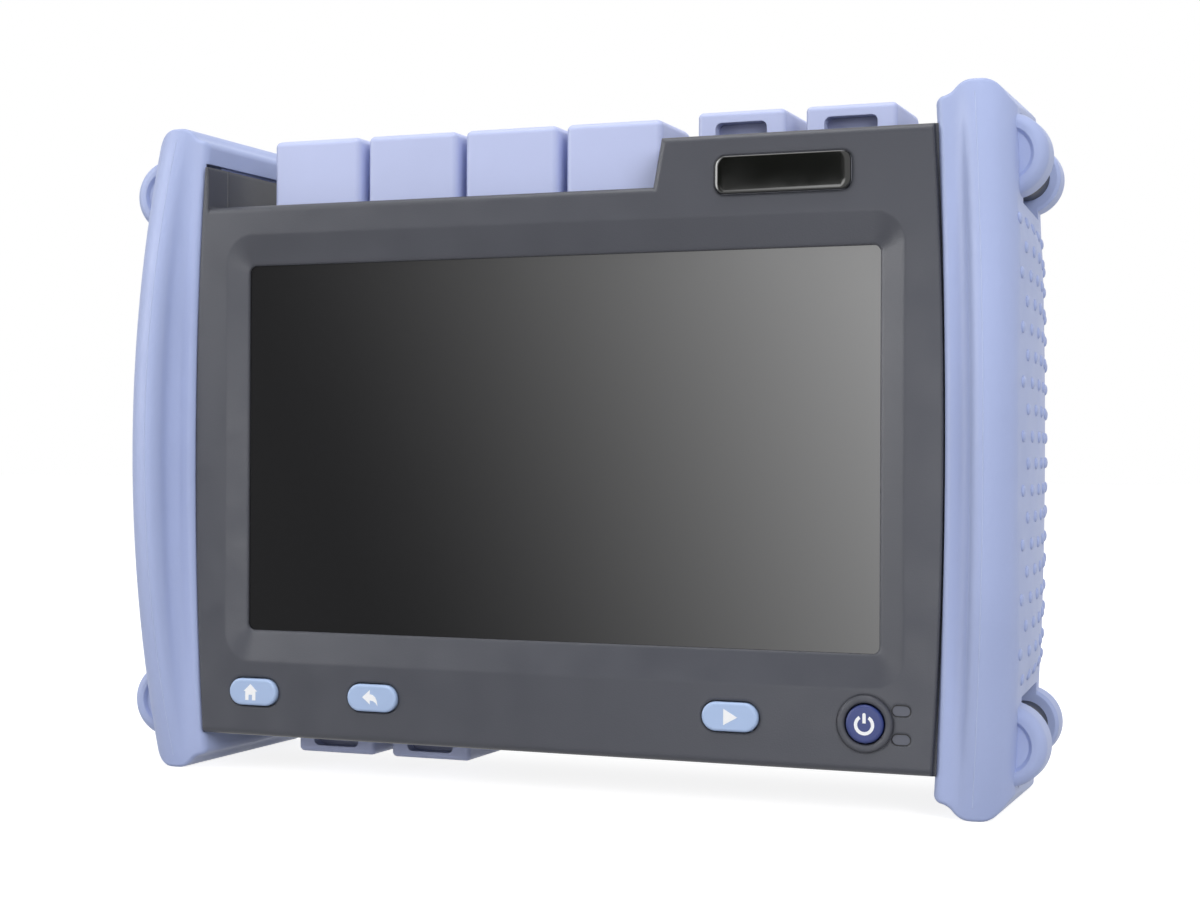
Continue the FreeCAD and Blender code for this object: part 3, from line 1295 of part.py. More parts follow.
def sockets():
    usb = socket("usb_socket", TOP_FLAPS[0], "14.6", "7.2", "14", "12.6", "5.2", "9", 1)
    pad(usb, "z", f"{TOP} - 9", f"{TOP} - 1", lambda s: rectangle(
        s, f"{TOP_FLAPS[0]} - 5.6", f"{TOP_FLAPS[0]} + 5.6", "port_y + 0.8", "port_y + 2.6"))
    socket("ethernet_socket", TOP_FLAPS[1], "16", "13.6", "20", "11.8", "8", "12", 1)
    socket("charging_socket", LOW_FLAPS[0], "9", "11", "14", "6.4", "", "9.5", -1)
    group("charging_pin", [rod("z", f"-{TOP} + 1.5", f"-{TOP} + 9.5", (LOW_FLAPS[0], "port_y"),
                               "charging_pin_radius")])
    socket("usb_device_socket", LOW_FLAPS[1], "12", "10.6", "16", "8.6", "7.9", "9", -1)


# ---------------------------------------------------------------- inside


def main_board():
    side = "(housing_width / 2 - cover_wall - board_margin)"
    top = f"({TOP} - cover_wall - board_margin)"
    body = new_body("main_board")
    pad(body, "y", "board_y", "board_y + board_thick", lambda s: outline(s, [
        (f"-{side}", f"-{top}"), (side, f"-{top}"), (side, top),
        ("bay_right + bay_step + cover_wall + board_margin", top),
        ("bay_right + bay_step + cover_wall + board_margin", "board_top"),
        (f"-{side}", "board_top")]))
    clearance = "(tube_radius + seat_gap)"
    pocket(body, "y", "board_y", "board_y + board_thick", *[
        lambda s, x=x, z=z: circle(s, f"{x} case_screw_x", f"{z} case_screw_z", clearance)
        for x, z in (("-", "-"), ("+", "-"), ("+", "+"))])
    for left, right, low, high, tall in (
            ("-30", "0", "-30", "0", "3"), ("8", "28", "-26", "-10", "1.6"),
            ("-66", "-44", "-40", "-24", "1.6"), ("44", "66", "-44", "-30", "4.5"),
            ("50", "62", "10", "30", "2")):
        pad(body, "y", f"board_y - {tall}", "board_y", lambda s, box=(left, right, low, high):
            rectangle(s, *box))


def optical_module():
    body = new_body("optical_module")
    pad(body, "y", "module_front", "module_back", lambda s: rectangle(
        s, "-module_left", "module_right", "module_low", "module_top"))
    round_edges(body, "1.5", lambda middle, edge: lies_along(edge, "y"))


def battery_pack():
    body = new_body("battery_pack")
    low = "(battery_z - battery_height / 2)"
    high = "(battery_z + battery_height / 2)"
    pad(body, "y", f"{BATTERY_BACK} - battery_thick", BATTERY_BACK, lambda s: rounded(
        s, "-battery_width / 2", "battery_width / 2", low, high, "3"))
    pocket(body, "y", f"{BATTERY_BACK} - battery_thick", f"{BATTERY_BACK} - 9",
           lambda s: rectangle(s, "-11", "11", f"{high} - 4", f"{high} + 1"))


def battery_connector():
    high = "(battery_z + battery_height / 2)"
    group("battery_connector", [block(
        "-10.5", "10.5", BAY_FLOOR, f"{BAY_FLOOR} + 8", f"{high} - 3.5", BAY_HIGH)])


def battery_door():
    body = new_body("battery_door")
    pad(body, "y", INNER_BACK, "housing_back", lambda s: rounded(
        s, f"-{DOOR_X}", DOOR_X, DOOR_LOW, DOOR_HIGH, "(door_radius - fit_gap)"))
    pocket(body, "y", INNER_BACK, "housing_back",
           lambda s: circle(s, "-door_screw_x", DOOR_SCREW_Z, "(screw_radius + seat_gap)"),
           lambda s: circle(s, "door_screw_x", DOOR_SCREW_Z, "(screw_radius + seat_gap)"))
    pocket(body, "y", "housing_back - back_wall / 2", "housing_back",
           lambda s: circle(s, "-door_screw_x", DOOR_SCREW_Z, "(head_radius + seat_gap)"),
           lambda s: circle(s, "door_screw_x", DOOR_SCREW_Z, "(head_radius + seat_gap)"))


def battery_door_screws():
    screws = []
    seat = "(housing_back - back_wall / 2)"
    for x in ("-", "+"):
        across = (f"{x} door_screw_x", DOOR_SCREW_Z)
        head = rod("y", seat, "housing_back - seat_gap", across, "head_radius")
        shank = rod("y", f"{INNER_BACK} - door_screw_length + 1", seat, across, "screw_radius")
        screws.append(fused([head, shank]))
    group("battery_door_screws", screws)


def case_screws():
    group("case_screws", [
        screw(f"{x} case_screw_x", f"{z} case_screw_z", "case_head_y", "case_screw_tip")
        for x in ("-", "+") for z in ("-", "+")])


# ---------------------------------------------------------------- stand


def stand():
    body = new_body("stand")
    pad(body, "y", STAND_FRONT, f"{STAND_FRONT} + stand_thick", lambda s: stand_outline(
        s, "0", "stand_foot_z", "(stand_hinge_z + stand_thick / 2)"))
    round_edges(body, "stand_thick / 2 - 0.01", lambda middle, edge: lies_along(edge, "x")
                and near(middle.z, "(stand_hinge_z + stand_thick / 2)"))
    for side in ("-", "+"):
        middle = f"{side} stand_x"
        pocket(body, "x", f"{middle} - leg_width / 2", f"{middle} + leg_width / 2",
               lambda s: circle(s, STAND_Y, "stand_hinge_z", "(stand_pin + run_gap)"))


def stand_foot():
    group("stand_foot", [block(
        "-foot_length / 2", "foot_length / 2", f"{STAND_FRONT} + 0.5",
        f"{STAND_FRONT} + stand_thick - 0.5", "stand_foot_z - foot_thick", "stand_foot_z")])


def stand_pins():
    reach = "(leg_width / 2 + fit_gap + stand_pin_hold)"
    group("stand_pins", [
        rod("x", f"{x} stand_x - {reach}", f"{x} stand_x + {reach}",
            (STAND_Y, "stand_hinge_z"), "stand_pin") for x in ("-", "+")])


# ---------------------------------------------------------------- whole instrument

front_cover()
middle_frame()
rear_housing()
on_the_left(right_bumper(), "left_bumper")
on_the_left(bumper_core(), "left_bumper_core")
standoffs()
strap_bars()
case_screws()
display_window()
display_gasket()
lcd_module()
display_bracket()
display_screws()
badge_plate()
pill_key("home_button", "home_x")
pill_key("back_button", "back_x")
pill_key("quick_test_button", "test_x")
power_button()
power_button_ring()
status_windows()
keypad_board()
tact_switches()
for cap in range(4):
    port_cap(cap)
interface_cover("usb_cover", TOP_FLAPS[0], TOP, "top_flap_height", "grip_roof", 1)
interface_cover("ethernet_cover", TOP_FLAPS[1], TOP, "top_flap_height", "grip_roof", 1)
interface_cover("charging_cover", LOW_FLAPS[0], f"(-{TOP})", "low_flap_height", "low_grip_roof", -1)
interface_cover("usb_device_cover", LOW_FLAPS[1], f"(-{TOP})", "low_flap_height", "low_grip_roof",
                -1)
for rail in HINGE_RAILS:
    hinge_rail(*rail)
hinge_pins()
optical_port_panel()
optical_port("otdr_port_1", 0, "barrel_radius")
optical_port("otdr_port_2", 1, "barrel_radius")
optical_port("fault_locator_port", 2, "universal_radius")
optical_port("power_meter_port", 3, "universal_radius")
sockets()
main_board()
optical_module()
battery_pack()
battery_connector()
battery_door()
battery_door_screws()
stand()
stand_foot()
stand_pins()
doc.recompute()

for thing in doc.Objects:
    for state in ("Invalid", "Error"):
        if state in thing.State:
            raise RuntimeError(f"{thing.Label} ({thing.TypeId}) is {state}")
for thing in SUBPARTS:
    if thing.Shape.isNull() or not thing.Shape.isValid():
        raise RuntimeError(f"{thing.Label} has no valid shape")
for thing in SUBPARTS:
    thing.Shape.exportStep(f"parts/{thing.Label}.step")
print(len(SUBPARTS), "sub-parts written")
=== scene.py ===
"""Looks of the handheld optical time domain reflectometer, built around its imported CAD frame.

Metres throughout, with +Z up and the screen facing -Y. Places come from the frame's own nodes.
"""
import json
import math

import bmesh
import bpy
from mathutils import Matrix, Vector
from mathutils.bvhtree import BVHTree


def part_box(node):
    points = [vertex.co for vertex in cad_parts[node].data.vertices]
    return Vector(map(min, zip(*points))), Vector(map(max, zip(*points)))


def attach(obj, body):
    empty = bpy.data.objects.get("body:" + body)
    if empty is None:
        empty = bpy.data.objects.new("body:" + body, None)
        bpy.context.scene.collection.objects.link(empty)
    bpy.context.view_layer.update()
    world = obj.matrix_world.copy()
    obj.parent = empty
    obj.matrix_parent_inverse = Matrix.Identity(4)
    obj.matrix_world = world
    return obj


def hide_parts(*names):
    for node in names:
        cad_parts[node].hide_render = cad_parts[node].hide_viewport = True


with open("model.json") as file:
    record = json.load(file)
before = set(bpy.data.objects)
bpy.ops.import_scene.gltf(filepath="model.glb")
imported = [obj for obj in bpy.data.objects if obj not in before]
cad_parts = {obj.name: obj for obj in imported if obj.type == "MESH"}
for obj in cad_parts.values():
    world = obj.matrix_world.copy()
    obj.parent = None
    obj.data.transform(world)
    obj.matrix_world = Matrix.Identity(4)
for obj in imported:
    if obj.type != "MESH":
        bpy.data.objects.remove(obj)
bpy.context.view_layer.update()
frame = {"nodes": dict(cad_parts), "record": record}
MM = 0.001
SCENE = bpy.context.scene
BODY_OF = {node: body for body, nodes in frame["record"]["behaviour"]["bodies"].items()
           for node in nodes}
SLOT_OF = {part["node"]: part["material_slot"] for part in frame["record"]["subparts"]}
MAIN_BODY = "instrument"
SIDE_OF_BUMPER = {"right_bumper": 1, "left_bumper": -1}

# ---------------------------------------------------------------- helpers


def middle_of(node):
    """The middle of a CAD node's box."""
    low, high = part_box(node)
    return (low + high) / 2


def add_node(tree, kind, inputs=None, **settings):
    """A node's outputs; each of its inputs gets a plain value or a link from an output."""
    node = tree.nodes.new(kind)
    for name, value in settings.items():
        setattr(node, name, value)
    for socket, source in (inputs or {}).items():
        if isinstance(source, bpy.types.NodeSocket):
            tree.links.new(source, node.inputs[socket])
        else:
            node.inputs[socket].default_value = source
    return node.outputs


def poured(name, solid):
    """A mesh from a bmesh, which is used up by this."""
    mesh = bpy.data.meshes.new(name)
    solid.to_mesh(mesh)
    solid.free()
    return mesh


def settled_mesh(holder):
    """The plain mesh that a curve or a modifier makes; its holder leaves the scene."""
    SCENE.collection.objects.link(holder)
    settled = holder.evaluated_get(bpy.context.evaluated_depsgraph_get())
    mesh = bpy.data.meshes.new_from_object(settled)
    bpy.data.objects.remove(holder)
    return mesh


def sheet(name, middle, across, up):
    """A flat rectangle that reaches from its middle by across and by up, both ways."""
    mesh = bpy.data.meshes.new(name)
    corners = ((-1, -1), (1, -1), (1, 1), (-1, 1))
    mesh.from_pydata([middle + across * u + up * v for u, v in corners], [], [(0, 1, 2, 3)])
    return mesh


# ---------------------------------------------------------------- colours


def linear(level):
    """A level of a display, 0 to 255, as an amount of light from 0 to 1."""
    level /= 255
    return level / 12.92 if level <= 0.04045 else ((level + 0.055) / 1.055) ** 2.4


def colour(red, green, blue):
    """A colour as it shows on a display, 0 to 255 each, in Blender's linear values."""
    return (linear(red), linear(green), linear(blue), 1.0)


PERIWINKLE = colour(170, 183, 224)
CAP_PERIWINKLE = colour(190, 199, 236)
# painted highlight: the seam is lighter than the rubber, for the bright line along it
SEAM_HIGHLIGHT_PERIWINKLE = colour(188, 200, 236)
# painted shade: darker rubber for the shade deep in the covers' finger pockets
POCKET_SHADE_PERIWINKLE = colour(134, 140, 172)
GREY_VIOLET = colour(62, 64, 73)
LIGHT_BLUE = colour(172, 194, 230)
NAVY = colour(44, 58, 118)
SMOKE = colour(74, 77, 90)
NEAR_BLACK = colour(22, 22, 24)
GLASS_BLACK = colour(20, 20, 22)
BADGE_BLACK = colour(18, 19, 17)
FOAM_BLACK = colour(34, 34, 36)
WRAP_BLUE = colour(52, 62, 92)
# painted highlight: grey for the light line round the badge's edge
RIM_HIGHLIGHT_GREY = colour(112, 114, 122)
ZINC = colour(176, 178, 182)
ANODISED = colour(186, 188, 192)
NICKEL = colour(196, 186, 158)
BOARD_GREEN = colour(22, 84, 48)
PRINT_WHITE = colour(250, 251, 253)
FLOOR_GREY = colour(170, 170, 172)
PURE_WHITE = (1, 1, 1, 1)

# ---------------------------------------------------------------- finishes

NOISE_LOW = 0.3
NOISE_HIGH = 0.7
SOFT_EDGE = 0.35 * MM
SOFT_EDGE_SAMPLES = 4


class Finish:
    """A material being built: its principled shader, and short ways to texture it."""

    def __init__(self, name, base, roughness, **sockets):
        self.material = bpy.data.materials.new(name)
        self.material.use_nodes = True
        self.tree = self.material.node_tree
        self.inputs = self.tree.nodes["Principled BSDF"].inputs
        self.base = base
        self.inputs["Base Color"].default_value = base
        self.inputs["Roughness"].default_value = roughness
        for socket, value in sockets.items():
            self.inputs[socket.replace("_", " ")].default_value = value
        self.place = add_node(self.tree, "ShaderNodeTexCoord")["Object"]

    def drive(self, socket, output):
        """Let a node's output decide one of the shader's inputs."""
        self.tree.links.new(output, self.inputs[socket])
        return self

    def noise(self, size, detail=3.0):
        """Noise whose features are about one size across."""
        return add_node(self.tree, "ShaderNodeTexNoise", {
            "Vector": self.place, "Scale": 1 / size, "Detail": detail})["Fac"]

    def spread(self, output, low, high):
        """The middle of a noise spread over a range of values."""
        return add_node(self.tree, "ShaderNodeMapRange", {
            "Value": output, "From Min": NOISE_LOW, "From Max": NOISE_HIGH,
            "To Min": low, "To Max": high})["Result"]

    def mottle(self, size, amount):
        """The base colour, a little darker and lighter in soft patches."""
        blend = self.tree.nodes.new("ShaderNodeMix")
        blend.data_type = "RGBA"
        self.tree.links.new(self.spread(self.noise(size), 0.0, 1.0), blend.inputs["Factor"])
        shades = [socket for socket in blend.inputs if socket.type == "RGBA"]
        for socket, share in zip(shades, (1 - amount, 1 + amount)):
            socket.default_value = [level * share for level in self.base[:3]] + [1.0]
        result = next(socket for socket in blend.outputs if socket.type == "RGBA")
        return self.drive("Base Color", result)

    def uneven(self, size, low, high):
        """Roughness that changes over the surface, as handling leaves it."""
        return self.drive("Roughness", self.spread(self.noise(size), low, high))

    def relief(self, height, depth, **normal):
        """A fine relief, as deep as depth where height is 1."""
        bump = add_node(self.tree, "ShaderNodeBump", {
            "Strength": 1.0, "Distance": depth, "Height": height, **normal})
        return self.drive("Normal", bump["Normal"])

    def grain(self, size, depth, soft_edge=SOFT_EDGE):
        """Fine moulded grain, over edges that a bevel of the shading rounds."""
        edge = add_node(self.tree, "ShaderNodeBevel", {"Radius": soft_edge},
                        samples=SOFT_EDGE_SAMPLES)
        return self.relief(self.noise(size, 2.0), depth, Normal=edge["Normal"])


def moulded(name, base, roughness, grain_size, grain_depth, soft_edge=SOFT_EDGE, **sockets):
    """Moulded plastic or rubber with a fine even grain."""
    made = Finish(name, base, roughness, **sockets)
    made.mottle(size=30 * MM, amount=0.03)
    made.uneven(size=9 * MM, low=roughness - 0.04, high=roughness + 0.05)
    return made.grain(grain_size, grain_depth, soft_edge).material


def metal(name, base, roughness, brush):
    """Plated or anodised metal with a fine brushed grain."""
    made = Finish(name, base, roughness, Metallic=1.0)
    made.mottle(size=3 * MM, amount=0.06)
    made.uneven(size=1.5 * MM, low=roughness - 0.06, high=roughness + 0.08)
    return made.grain(brush, depth=0.01 * MM, soft_edge=0.1 * MM).material


def board_laminate():
    """Green solder resist over copper tracks, as a fine raised lattice."""
    made = Finish("circuit board", BOARD_GREEN, 0.35)
    tracks = add_node(made.tree, "ShaderNodeTexVoronoi", {
        "Vector": made.place, "Scale": 1 / (2.4 * MM)}, feature="DISTANCE_TO_EDGE")
    line = add_node(made.tree, "ShaderNodeMapRange", {
        "Value": tracks["Distance"], "From Min": 0.02, "From Max": 0.12,
        "To Min": 1.0, "To Max": 0.0})
    made.relief(line["Result"], depth=0.04 * MM)
    return made.mottle(size=4 * MM, amount=0.12).material


def screen_glass():
    """Black display under polished glass, with the faintest haze of wiping."""
    made = Finish("screen glass", GLASS_BLACK, 0.06, Coat_Weight=0.6, Coat_Roughness=0.03)
    made.uneven(size=22 * MM, low=0.045, high=0.085)
    return made.mottle(size=60 * MM, amount=0.04).material


def badge_gloss():
    """Glossy black under a thin clear coat."""
    made = Finish("badge gloss", BADGE_BLACK, 0.10, Coat_Weight=0.5)
    made.uneven(size=6 * MM, low=0.08, high=0.12)
    return made.mottle(size=3 * MM, amount=0.05).material


# name, colour, roughness, then the grain's size and depth
RUBBER = moulded("bumper rubber", PERIWINKLE, 0.50, 0.45 * MM, 0.012 * MM,
                 Sheen_Weight=0.08, Sheen_Roughness=0.5)
CAP_PLASTIC = moulded("cap plastic", CAP_PERIWINKLE, 0.46, 0.4 * MM, 0.008 * MM)
COVER_PLASTIC = moulded("cover plastic", GREY_VIOLET, 0.36, 0.38 * MM, 0.022 * MM,
                        soft_edge=1.0 * MM)
KEY_PLASTIC = moulded("key plastic", LIGHT_BLUE, 0.36, 0.6 * MM, 0.003 * MM)
POWER_PLASTIC = moulded("power key plastic", NAVY, 0.34, 0.6 * MM, 0.003 * MM)
LAMP_PLASTIC = moulded("smoked light pipe", SMOKE, 0.32, 0.8 * MM, 0.002 * MM)
BLACK_PLASTIC = moulded("black plastic", NEAR_BLACK, 0.38, 0.5 * MM, 0.008 * MM)
FOAM = moulded("foam and foot rubber", FOAM_BLACK, 0.8, 0.5 * MM, 0.06 * MM)
BATTERY_WRAP = moulded("battery wrap", WRAP_BLUE, 0.4, 1.2 * MM, 0.01 * MM)
BADGE_GLOSS = badge_gloss()
# painted shade deep in the covers' finger pockets
POCKET_PAINTED_SHADE = moulded("painted shade deep in a pocket", POCKET_SHADE_PERIWINKLE, 0.6, 0.45 * MM,
                        0.012 * MM)
# painted highlight along the mould seam
SEAM_HIGHLIGHT_RUBBER = moulded("mould seam, painted highlight", SEAM_HIGHLIGHT_PERIWINKLE, 0.45, 0.45 * MM, 0.012 * MM)
# painted highlight round the badge's edge
RIM_HIGHLIGHT_RESIN = moulded("badge edge, painted highlight", RIM_HIGHLIGHT_GREY, 0.2, 0.8 * MM, 0.001 * MM)
# name, colour, roughness, then the size of the brushed grain
STEEL = metal("zinc plated steel", ZINC, 0.34, 0.12 * MM)
ALUMINIUM = metal("anodised aluminium", ANODISED, 0.42, 0.1 * MM)
BRASS = metal("nickel plated brass", NICKEL, 0.28, 0.15 * MM)
BOARD = board_laminate()
GLASS = screen_glass()
KEY_PRINT = Finish("key print", PRINT_WHITE, 0.5).mottle(size=1.5 * MM, amount=0.01).material

FINISH_OF_SLOT = {
    "bumper_rubber": RUBBER, "cover_plastic": COVER_PLASTIC, "cap_plastic": CAP_PLASTIC,
    "display_glass": GLASS, "key_plastic": KEY_PLASTIC, "power_plastic": POWER_PLASTIC,
    "badge_gloss": BADGE_GLOSS, "black_plastic": BLACK_PLASTIC, "lamp_plastic": LAMP_PLASTIC,
    "steel": STEEL, "aluminium": ALUMINIUM, "brass": BRASS, "board": BOARD, "foam": FOAM,
    "battery_wrap": BATTERY_WRAP,
}

# ---------------------------------------------------------------- pieces

SMOOTH_BELOW = 32
SHALLOW_SLOPES = {"front_cover": 10}
FLAT_FACE_WEIGHT = 90
WELD = 0.001 * MM
SHORTEST_EDGE = 0.0005 * MM
SHADING_OF_CAD = ("custom_normal", "sharp_edge", "sharp_face")
SKINNED_SLOTS = ("bumper_rubber", "cover_plastic", "cap_plastic", "key_plastic", "power_plastic",
                 "badge_gloss", "black_plastic", "lamp_plastic", "display_glass", "foam")


def on_stage(name, mesh, finish):
    """A new object in the scene, at the origin, with one material."""
    piece = bpy.data.objects.new(name, mesh)
    mesh.materials.clear()
    mesh.materials.append(finish)
    SCENE.collection.objects.link(piece)
    return piece


def seat(piece, body):
    """Let a new piece ride on a body."""
    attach(piece, body)


def smooth(mesh, angle=SMOOTH_BELOW):
    """Smooth shading, broken where faces meet at more than an angle in degrees."""
    mesh.polygons.foreach_set("use_smooth", [True] * len(mesh.polygons))
    mesh.set_sharp_from_angle(angle=math.radians(angle))


def skin(node):
    """A merged and smooth-shaded copy of a CAD node, which stands for it."""
    mesh = frame["nodes"][node].data.copy()
    for name in SHADING_OF_CAD:
        if name in mesh.attributes:
            mesh.attributes.remove(mesh.attributes[name])
    solid = bmesh.new()
    solid.from_mesh(mesh)
    bmesh.ops.remove_doubles(solid, verts=solid.verts, dist=WELD)
    bmesh.ops.dissolve_degenerate(solid, edges=solid.edges, dist=SHORTEST_EDGE)
    solid.to_mesh(mesh)
    solid.free()
    smooth(mesh, SHALLOW_SLOPES.get(node, SMOOTH_BELOW))
    piece = on_stage(f"{node}_skin", mesh, FINISH_OF_SLOT[SLOT_OF[node]])
    weigh = piece.modifiers.new("flat faces stay flat", "WEIGHTED_NORMAL")
    weigh.keep_sharp = True
    weigh.weight = FLAT_FACE_WEIGHT
    seat(piece, BODY_OF[node])
    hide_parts(node)
    return piece


def dress_frame():
    """Every node gets its finish, and the moulded ones a smooth skin."""
    for node, thing in frame["nodes"].items():
        thing.data.materials.clear()
        thing.data.materials.append(FINISH_OF_SLOT[SLOT_OF[node]])
    return {node: skin(node) for node in BODY_OF if SLOT_OF[node] in SKINNED_SLOTS}


SKINS = dress_frame()

# ---------------------------------------------------------------- swell of the bumpers' sides

SWELL = 1.7 * MM
SWELL_HALF_DEPTH = 26 * MM
SWELL_FULL = 44 * MM
SWELL_END = 53 * MM
SWELL_STEP = 3 * MM
SWELL_SNAP = 0.01 * MM
OUTER_SKIN = 102 * MM


def swell_side(name):
    """The outer side of a bumper, a little convex from front to back, ears left alone."""
    middle = middle_of(name)
    mesh = SKINS[name].data
    solid = bmesh.new()
    solid.from_mesh(mesh)
    for axis, reach in ((Vector((0, 1, 0)), SWELL_HALF_DEPTH), (Vector((0, 0, 1)), SWELL_END)):
        cuts = round(reach / SWELL_STEP)
        for cut in range(-cuts, cuts + 1):
            outer = [face for face in solid.faces
                     if abs(face.calc_center_median().x) > OUTER_SKIN]
            around = {part for face in outer for part in (*face.verts, *face.edges)}
            bmesh.ops.bisect_plane(solid, geom=[*outer, *around], dist=SWELL_SNAP,
                                   plane_co=middle + axis * reach * cut / cuts, plane_no=axis)
    for vert in solid.verts:
        depth = (vert.co.y - middle.y) / SWELL_HALF_DEPTH
        level = abs(vert.co.z - middle.z)
        if abs(vert.co.x) > OUTER_SKIN and abs(depth) < 1 and level < SWELL_END:
            fade = min(1.0, (SWELL_END - level) / (SWELL_END - SWELL_FULL))
            fade = fade * fade * (3 - 2 * fade)
            vert.co.x += math.copysign(SWELL * fade * (1 - depth ** 2), vert.co.x)
    solid.to_mesh(mesh)
    solid.free()
    smooth(mesh)


for bumper in SIDE_OF_BUMPER:
    swell_side(bumper)

# ---------------------------------------------------------------- grip bumps on the bumpers

BUMP_ROWS = 18
BUMP_COLUMNS = 5
BUMP_PITCH_Z = 5.71 * MM
BUMP_PITCH_Y = 9.5 * MM
BUMP_RADIUS = 1.3 * MM
BUMP_RISE = 0.6 * MM
BUMP_ARCH = 2.0 * MM
BUMP_SHIFT = -1.0 * MM
BUMP_SEGMENTS = 12
BUMP_RINGS = 8
CAST_FROM = 200 * MM
CAST_LENGTH = 1000 * MM
GRIP_INPUTS = {
    "Bumper": "NodeSocketObject", "Rows": "NodeSocketInt", "Columns": "NodeSocketInt",
    "Row Pitch": "NodeSocketFloat", "Column Pitch": "NodeSocketFloat",
    "Middle": "NodeSocketVector", "Inward": "NodeSocketVector", "Radius": "NodeSocketFloat",
    "Rise": "NodeSocketFloat", "Arch": "NodeSocketFloat", "Finish": "NodeSocketMaterial",
}


def grip_tree():
    """Rows of small domes, staggered row by row, cast onto a bumper's side."""
    tree = bpy.data.node_groups.new("grip bumps", "GeometryNodeTree")
    tree.interface.new_socket("Geometry", in_out="OUTPUT", socket_type="NodeSocketGeometry")
    for name, kind in GRIP_INPUTS.items():
        tree.interface.new_socket(name, in_out="INPUT", socket_type=kind)
    given = tree.nodes.new("NodeGroupInput").outputs
    result = tree.nodes.new("NodeGroupOutput").inputs

    def add(kind, inputs=None, **settings):
        return add_node(tree, kind, inputs, **settings)

    def maths(operation, first, second=0.0):
        return add("ShaderNodeMath", {0: first, 1: second}, operation=operation)[0]

    total = maths("MULTIPLY", given["Rows"], given["Columns"])
    points = add("GeometryNodePoints", {"Count": total})[0]
    index = add("GeometryNodeInputIndex")[0]
    row = maths("FLOOR", maths("DIVIDE", index, given["Columns"]))
    column = maths("SUBTRACT", index, maths("MULTIPLY", row, given["Columns"]))
    # a quarter of a pitch forward and back, row by row
    stagger = maths("MULTIPLY", maths("SUBTRACT", 0.5, maths("MODULO", row, 2.0)), 0.5)
    half_columns = maths("DIVIDE", maths("SUBTRACT", given["Columns"], 1.0), 2.0)
    along = maths("MULTIPLY", maths("ADD", maths("SUBTRACT", column, half_columns), stagger),
                  given["Column Pitch"])
    half_rows = maths("DIVIDE", maths("SUBTRACT", given["Rows"], 1.0), 2.0)
    level = maths("SUBTRACT", row, half_rows)
    # the rows draw in towards the back, most at the top and bottom; lean runs from 0 to 4
    reach = maths("MULTIPLY", half_columns, given["Column Pitch"])
    share = maths("DIVIDE", level, half_rows)
    lean = maths("POWER", maths("DIVIDE", maths("ADD", along, reach), reach), 2.0)
    fall = maths("MULTIPLY", maths("MULTIPLY", lean, share), given["Arch"])
    height = maths("SUBTRACT", maths("MULTIPLY", level, given["Row Pitch"]),
                   maths("DIVIDE", fall, 4.0))
    where = add("ShaderNodeCombineXYZ", {"Y": along, "Z": height})[0]
    start = add("ShaderNodeVectorMath", {0: where, 1: given["Middle"]}, operation="ADD")[0]
    spread = add("GeometryNodeSetPosition", {"Geometry": points, "Position": start})[0]
    target = add("GeometryNodeObjectInfo", {"Object": given["Bumper"]})["Geometry"]
    cast = add("GeometryNodeRaycast", {
        "Target Geometry": target, "Source Position": start,
        "Ray Direction": given["Inward"], "Ray Length": CAST_LENGTH})
    missed = maths("SUBTRACT", 1.0, cast["Is Hit"])
    landed = add("GeometryNodeSetPosition", {
        "Geometry": spread, "Position": cast["Hit Position"]})[0]
    kept = add("GeometryNodeDeleteGeometry", {"Geometry": landed, "Selection": missed})[0]
    turn = add("FunctionNodeAlignRotationToVector", {"Vector": cast["Hit Normal"]}, axis="Z")[0]
    dome = add("GeometryNodeMeshUVSphere", {
        "Segments": BUMP_SEGMENTS, "Rings": BUMP_RINGS, "Radius": 1.0})["Mesh"]
    size = add("ShaderNodeCombineXYZ", {
        "X": given["Radius"], "Y": given["Radius"], "Z": given["Rise"]})[0]
    bumps = add("GeometryNodeInstanceOnPoints", {
        "Points": kept, "Instance": dome, "Rotation": turn, "Scale": size})[0]
    solid = add("GeometryNodeRealizeInstances", {"Geometry": bumps})[0]
    shaded = add("GeometryNodeSetShadeSmooth", {"Geometry": solid})[0]
    finished = add("GeometryNodeSetMaterial", {
        "Geometry": shaded, "Material": given["Finish"]})[0]
    tree.links.new(finished, result["Geometry"])
    return tree


def grown(name, tree, values):
    """The plain mesh that a Geometry Nodes tree makes from the values given."""
    holder = bpy.data.objects.new(f"{name}_seed", bpy.data.meshes.new(name))
    modifier = holder.modifiers.new("nodes", "NODES")
    modifier.node_group = tree
    for item in tree.interface.items_tree:
        if item.in_out == "INPUT":
            modifier[item.identifier] = values[item.name]
    return settled_mesh(holder)


def grip_bumps():
    """The grip bumps of both bumpers, as one piece on each."""
    tree = grip_tree()
    for name, side in SIDE_OF_BUMPER.items():
        middle = middle_of(name)
        middle.x = side * CAST_FROM
        middle.y += BUMP_SHIFT
        mesh = grown(f"{name}_grip", tree, {
            "Bumper": SKINS[name], "Rows": BUMP_ROWS, "Columns": BUMP_COLUMNS,
            "Row Pitch": BUMP_PITCH_Z, "Column Pitch": BUMP_PITCH_Y,
            "Middle": middle, "Inward": (-float(side), 0.0, 0.0), "Radius": BUMP_RADIUS,
            "Rise": BUMP_RISE, "Arch": BUMP_ARCH, "Finish": RUBBER})
        seat(on_stage(f"{name}_grip", mesh, RUBBER), MAIN_BODY)


grip_bumps()

# ---------------------------------------------------------------- mould seam on the bumpers

BEAD_RESOLUTION = 2
SEAM_WIDTH = 0.32 * MM
SEAM_RISE = 0.08 * MM
SEAM_STEPS = 60
SEAM_END = 3 * MM
SEAM_CAST = 10 * MM
CROWN_X = 101.5 * MM
CROWN_BOW = 3.5 * MM


